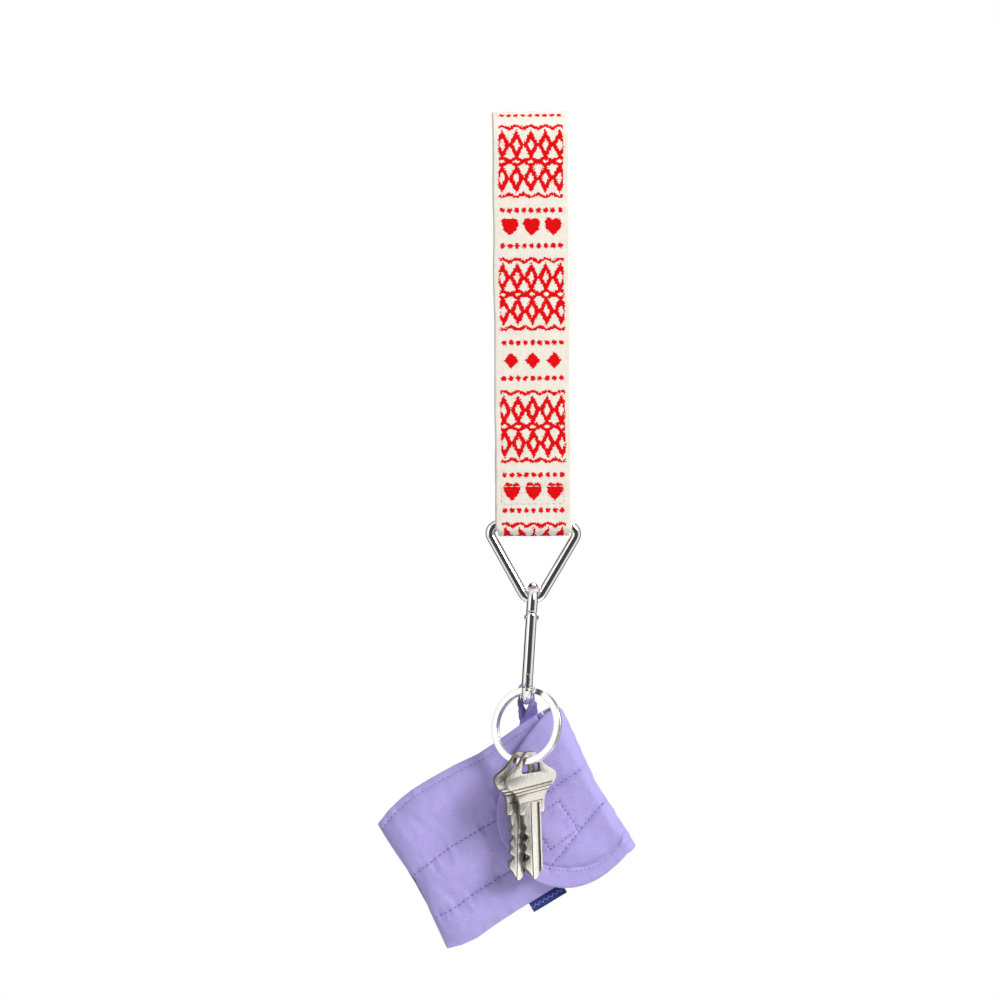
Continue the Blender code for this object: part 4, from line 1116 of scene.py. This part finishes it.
def flap_fold(columns, rows, front):
    """The turn over the pouch's mouth, from the back panel to where the flap's front starts."""
    b = np.linspace(0, 1, rows)
    v = front[1][:1]
    v_back = -1.6 + (-69.0 + 1.6) * b[None, :]
    out = through(FOLD_BULGE, v)
    turned = np.linspace(math.pi, 0, columns, endpoint=False)[:, None]
    back = body_half(v)
    ahead = front[2][:1]
    middle = (ahead - back) / 2
    half = (ahead + back) / 2
    share = (1 - np.cos(math.pi - turned)) / 2
    u = FOLD_CENTRE + out * np.sin(turned) + 0.18 * ripples(v, turned * 6, 51, 5, 16) * np.sin(turned)
    w = middle + half * np.cos(turned)
    v = v_back + (v - v_back) * share
    return u, v, w


def make_flap(place):
    columns, turn, rows = 110, 34, 150
    front = flap_front(columns, rows)
    fold = flap_fold(turn, rows, front)
    outer = np.stack([np.concatenate([f, g]) for f, g in zip(fold, front)], -1)
    inner = inside_of(outer, 1.5)
    count = outer.shape[0]
    total = count * rows
    faces = grid_faces(count, rows)
    faces += [face[::-1] for face in grid_faces(count, rows, total)]
    rim = [i * rows for i in range(count)] + [(count - 1) * rows + k for k in range(1, rows)]
    rim += [i * rows + rows - 1 for i in range(count - 2, -1, -1)] + list(range(rows - 2, 0, -1))
    faces += [[p, q, q + total, p + total] for p, q in zip(rim, rim[1:] + rim[:1])]
    points = np.concatenate([outer.reshape(-1, 3), inner.reshape(-1, 3)])
    obj = piece("quilted_flap", to_world(place, points), faces, "nylon", None,
                ["flap_fold", "flap_outer_fabric", "flap_wadding", "flap_lining"])
    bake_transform(obj)
    stitch_flap(place)


def inside_of(grid, thick):
    """The grid moved inwards along its normals, less at the rim than in the middle."""
    along = np.gradient(grid, axis=0)
    across = np.gradient(grid, axis=1)
    normal = np.cross(along, across)
    normal /= np.linalg.norm(normal, axis=-1)[..., None] + 1e-12
    middle = normal[len(normal) // 2, normal.shape[1] // 2]
    if middle[2] < 0:
        normal = -normal
    rows = np.minimum(np.arange(grid.shape[1]), np.arange(grid.shape[1])[::-1])
    ends = np.arange(grid.shape[0])[::-1]
    near = np.minimum(np.minimum(rows[None, :] / 4, ends[:, None] / 4), 1.0)
    return grid - normal * (thick * (0.35 + 0.65 * near))[..., None]


def stitch_flap(place):
    """Pale topstitches along the hem, and dark sunk ones along the quilting and the closure's box."""
    lines = [LINE_A, LINE_B]
    add_flap_threads(place, "flap_hem_stitching", [HEM], 1.9, 0.62, "lilac_thread", "flap_hem_stitch", 0.2)
    add_flap_threads(place, "flap_box_stitching", [PATCH_BOX], 2.0, 0.6, "quilting", "patch_box_stitch")
    add_flap_threads(place, "flap_quilting", lines, 2.2, 0.6, "quilting", "flap_quilt_stitch")


def add_flap_threads(place, name, routes, pitch, share, look, node, lift=0.0):
    runs = []
    for route in routes:
        if route is not PATCH_BOX:
            route = smooth_route(route, 6)
        line = evenly(route, 0.5)
        w = flap_height(line[:, 0], line[:, 1]) + lift
        world = to_world(place, np.column_stack([line, w]))
        runs += stitch_runs(world, pitch, share, (0, -1, 0), 0.3)
    threads(name, runs, 0.19, look, "flap", [node])


def make_hang_loop():
    """A tape over the hook's bend. Each end turns from edge-on to face-on, to lie along the top seam."""
    route = [(-1.1, 10.9, -11.6), (-1.1, 10.2, -9.2), (-1.6, 7.0, -5.4), (-2.6, 4.7, -2.0),
             (-3.0, 4.1, 2.0), (-2.6, 4.1, 5.0), (0.0, 4.1, 6.9), (2.6, 4.1, 5.0), (3.1, 4.1, 2.0),
             (2.9, 4.3, -1.0), (2.2, 6.5, -3.8), (1.8, 10.1, -7.2), (1.5, 10.9, -9.6)]
    spread = [(1.6, 0.1, 0.9), (1.5, 0.4, 0.8), (1.5, 1.5, 0.4), (0.7, 2.0, 0.1), (0, 2.1, 0),
              (0, 2.1, 0), (0, 2.1, 0), (0, 2.1, 0), (0, 2.1, 0), (0.8, 2.0, 0.2), (2.2, 1.5, 1.2),
              (3.1, 0.4, 1.8), (3.3, 0.1, 2.0)]
    middle = np.asarray(smooth_route(route, 12))
    width = np.asarray(smooth_route(spread, 12))
    ahead = np.gradient(middle, axis=0)
    thick = np.cross(ahead, width)
    thick *= 0.36 / np.linalg.norm(thick, axis=1)[:, None]
    section = rounded(2, 2, 0.5, 3)
    points = [m + w * x + t * y for m, w, t in zip(middle, width, thick) for x, y in section]
    points = np.asarray(points)
    points[:, 0] += 0.16 * ripples(points[:, 2], points[:, 1], 61, 2.2, 6)
    count = len(section)
    faces = grid_faces(len(middle), count, round_columns=True) + end_caps(len(middle), count)
    place = Matrix.Translation(PIVOT["pouch_swing"])
    tape = piece("hang_loop_tape", to_world(place, points), faces, "tape", None, ["hang_loop"])
    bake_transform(tape)


def make_label_piece(place):
    """A folded woven label, caught in the lower seam."""
    u0, u1, top, deep, half = -52.7, -36.4, -66.5, 6.0, 0.34
    across = np.linspace(0, 1, 40)
    down = np.linspace(0, 1, 16)
    loop = [(d, half) for d in down] + [(1.02, 0)] + [(d, -half) for d in down[::-1]]
    points = []
    for a in across:
        wave = 0.25 * math.sin(a * 5.0)
        for d, w in loop:
            points.append((u0 + (u1 - u0) * a, top - deep * d, w + wave * d))
    count = len(loop)
    faces = grid_faces(len(across), count) + end_caps(len(across), count)
    obj = piece("woven_side_label", to_world(place, points), faces, "label", "pouch",
                ["side_label"])
    add_cloth_map(obj.data, np.array([(deep * d, (u1 - u0) * a) for a in across for d, _ in loop]))


def dress_carried_nodes():
    """CAD nodes that keep their own shape get the finished materials."""
    looks = {"gate_rivet": "steel", "gate_latch_pin": "steel", "gate_spring": "spring",
             "gate_plunger": "spring", "loop_patch": "patch", "hook_patch": "patch"}
    for name, look in looks.items():
        NODES[name].data.materials.clear()
        NODES[name].data.materials.append(LOOK[look])


# --- stage


def make_floor():
    mesh = bpy.data.meshes.new("floor")
    ring = [(x, y, FLOOR_LEVEL) for x, y in circle(FLOOR_RADIUS, FLOOR_SIDES)]
    mesh.from_pydata(ring, [], [list(range(FLOOR_SIDES))])
    mesh.materials.append(Shader("pale_floor", (0.92, 0.92, 0.92), 0.9).material)
    floor = bpy.data.objects.new("floor", mesh)
    bpy.context.collection.objects.link(floor)


def make_world():
    """White to the camera and pale to the cloth. Metal also mirrors dark flags in front and behind."""
    world = bpy.data.worlds.new("studio")
    world.use_nodes = True
    bpy.context.scene.world = world
    tree = world.node_tree
    tree.nodes.clear()
    link = tree.links.new

    def new(kind, **settings):
        made = tree.nodes.new("ShaderNode" + kind)
        for key, value in settings.items():
            setattr(made, key, value)
        return made

    path, where, split = new("LightPath"), new("TexCoord"), new("SeparateXYZ")
    link(where.outputs["Generated"], split.inputs["Vector"])
    flags = []
    for start, end, dark in ((-0.42, -0.80, 0.06), (0.10, 0.62, 0.05)):
        flag = new("MapRange", interpolation_type="SMOOTHSTEP")
        link(split.outputs["Y"], flag.inputs["Value"])
        for socket, value in (("From Min", start), ("From Max", end), ("To Min", 1), ("To Max", dark)):
            flag.inputs[socket].default_value = value
        flags.append(flag.outputs["Result"])
    both = new("Math", operation="MULTIPLY")
    link(flags[0], both.inputs[0])
    link(flags[1], both.inputs[1])
    mirrored, even, white = new("Background"), new("Background"), new("Background")
    link(both.outputs[0], mirrored.inputs["Strength"])
    even.inputs["Strength"].default_value = AMBIENT
    for each in (mirrored, even, white):
        each.inputs["Color"].default_value = (1, 1, 1, 1)
    glossy, seen, out = new("MixShader"), new("MixShader"), new("OutputWorld")
    link(path.outputs["Is Glossy Ray"], glossy.inputs["Fac"])
    link(even.outputs[0], glossy.inputs[1])
    link(mirrored.outputs[0], glossy.inputs[2])
    link(path.outputs["Is Camera Ray"], seen.inputs["Fac"])
    link(glossy.outputs[0], seen.inputs[1])
    link(white.outputs[0], seen.inputs[2])
    link(seen.outputs[0], out.inputs["Surface"])


def softbox(name, spot, aim, size, power):
    data = bpy.data.lights.new(name, "AREA")
    data.shape, data.size, data.size_y, data.energy = "RECTANGLE", size[0], size[1], power
    lamp = bpy.data.objects.new(name, data)
    bpy.context.collection.objects.link(lamp)
    lamp.location = spot
    lamp.rotation_euler = (Vector(aim) - Vector(spot)).to_track_quat("-Z", "Y").to_euler()


def make_stage():
    make_floor()
    make_world()
    middle = (0.0, 0.0, -0.18)
    softbox("key_softbox", (0.85, -0.75, 0.5), middle, (0.45, 0.6), KEY_POWER)
    softbox("fill_softbox", (-0.95, -0.8, 0.1), middle, (0.6, 1.0), FILL_POWER)
    softbox("back_softbox", (0.2, 1.1, 0.75), middle, (0.8, 0.6), BACK_POWER)
    bpy.context.scene.view_settings.view_transform = "Standard"


def make_camera():
    """Level with the strap's lower half and far off, so that the view is nearly without perspective."""
    data = bpy.data.cameras.new("camera")
    data.sensor_width = 36
    data.lens = data.sensor_width * CAMERA_DISTANCE / CAMERA_SPAN
    camera = bpy.data.objects.new("camera", data)
    bpy.context.collection.objects.link(camera)
    camera.location = (CAMERA_ACROSS, -CAMERA_DISTANCE, CAMERA_LEVEL)
    camera.rotation_euler = (math.pi / 2, 0, 0)
    bpy.context.scene.camera = camera


def build():
    make_camera()
    make_stage()
    make_strap()
    make_triangle()
    make_carabiner()
    make_split_ring()
    make_key("key_front", "front_key", 1.4, math.radians(-2.2))
    make_key("key_rear", "rear_key", -3.1, math.radians(1.6))
    place = pouch_matrix()
    make_pouch_body(place)
    make_flap(place)
    make_hang_loop()
    make_label_piece(place)
    dress_carried_nodes()


build()
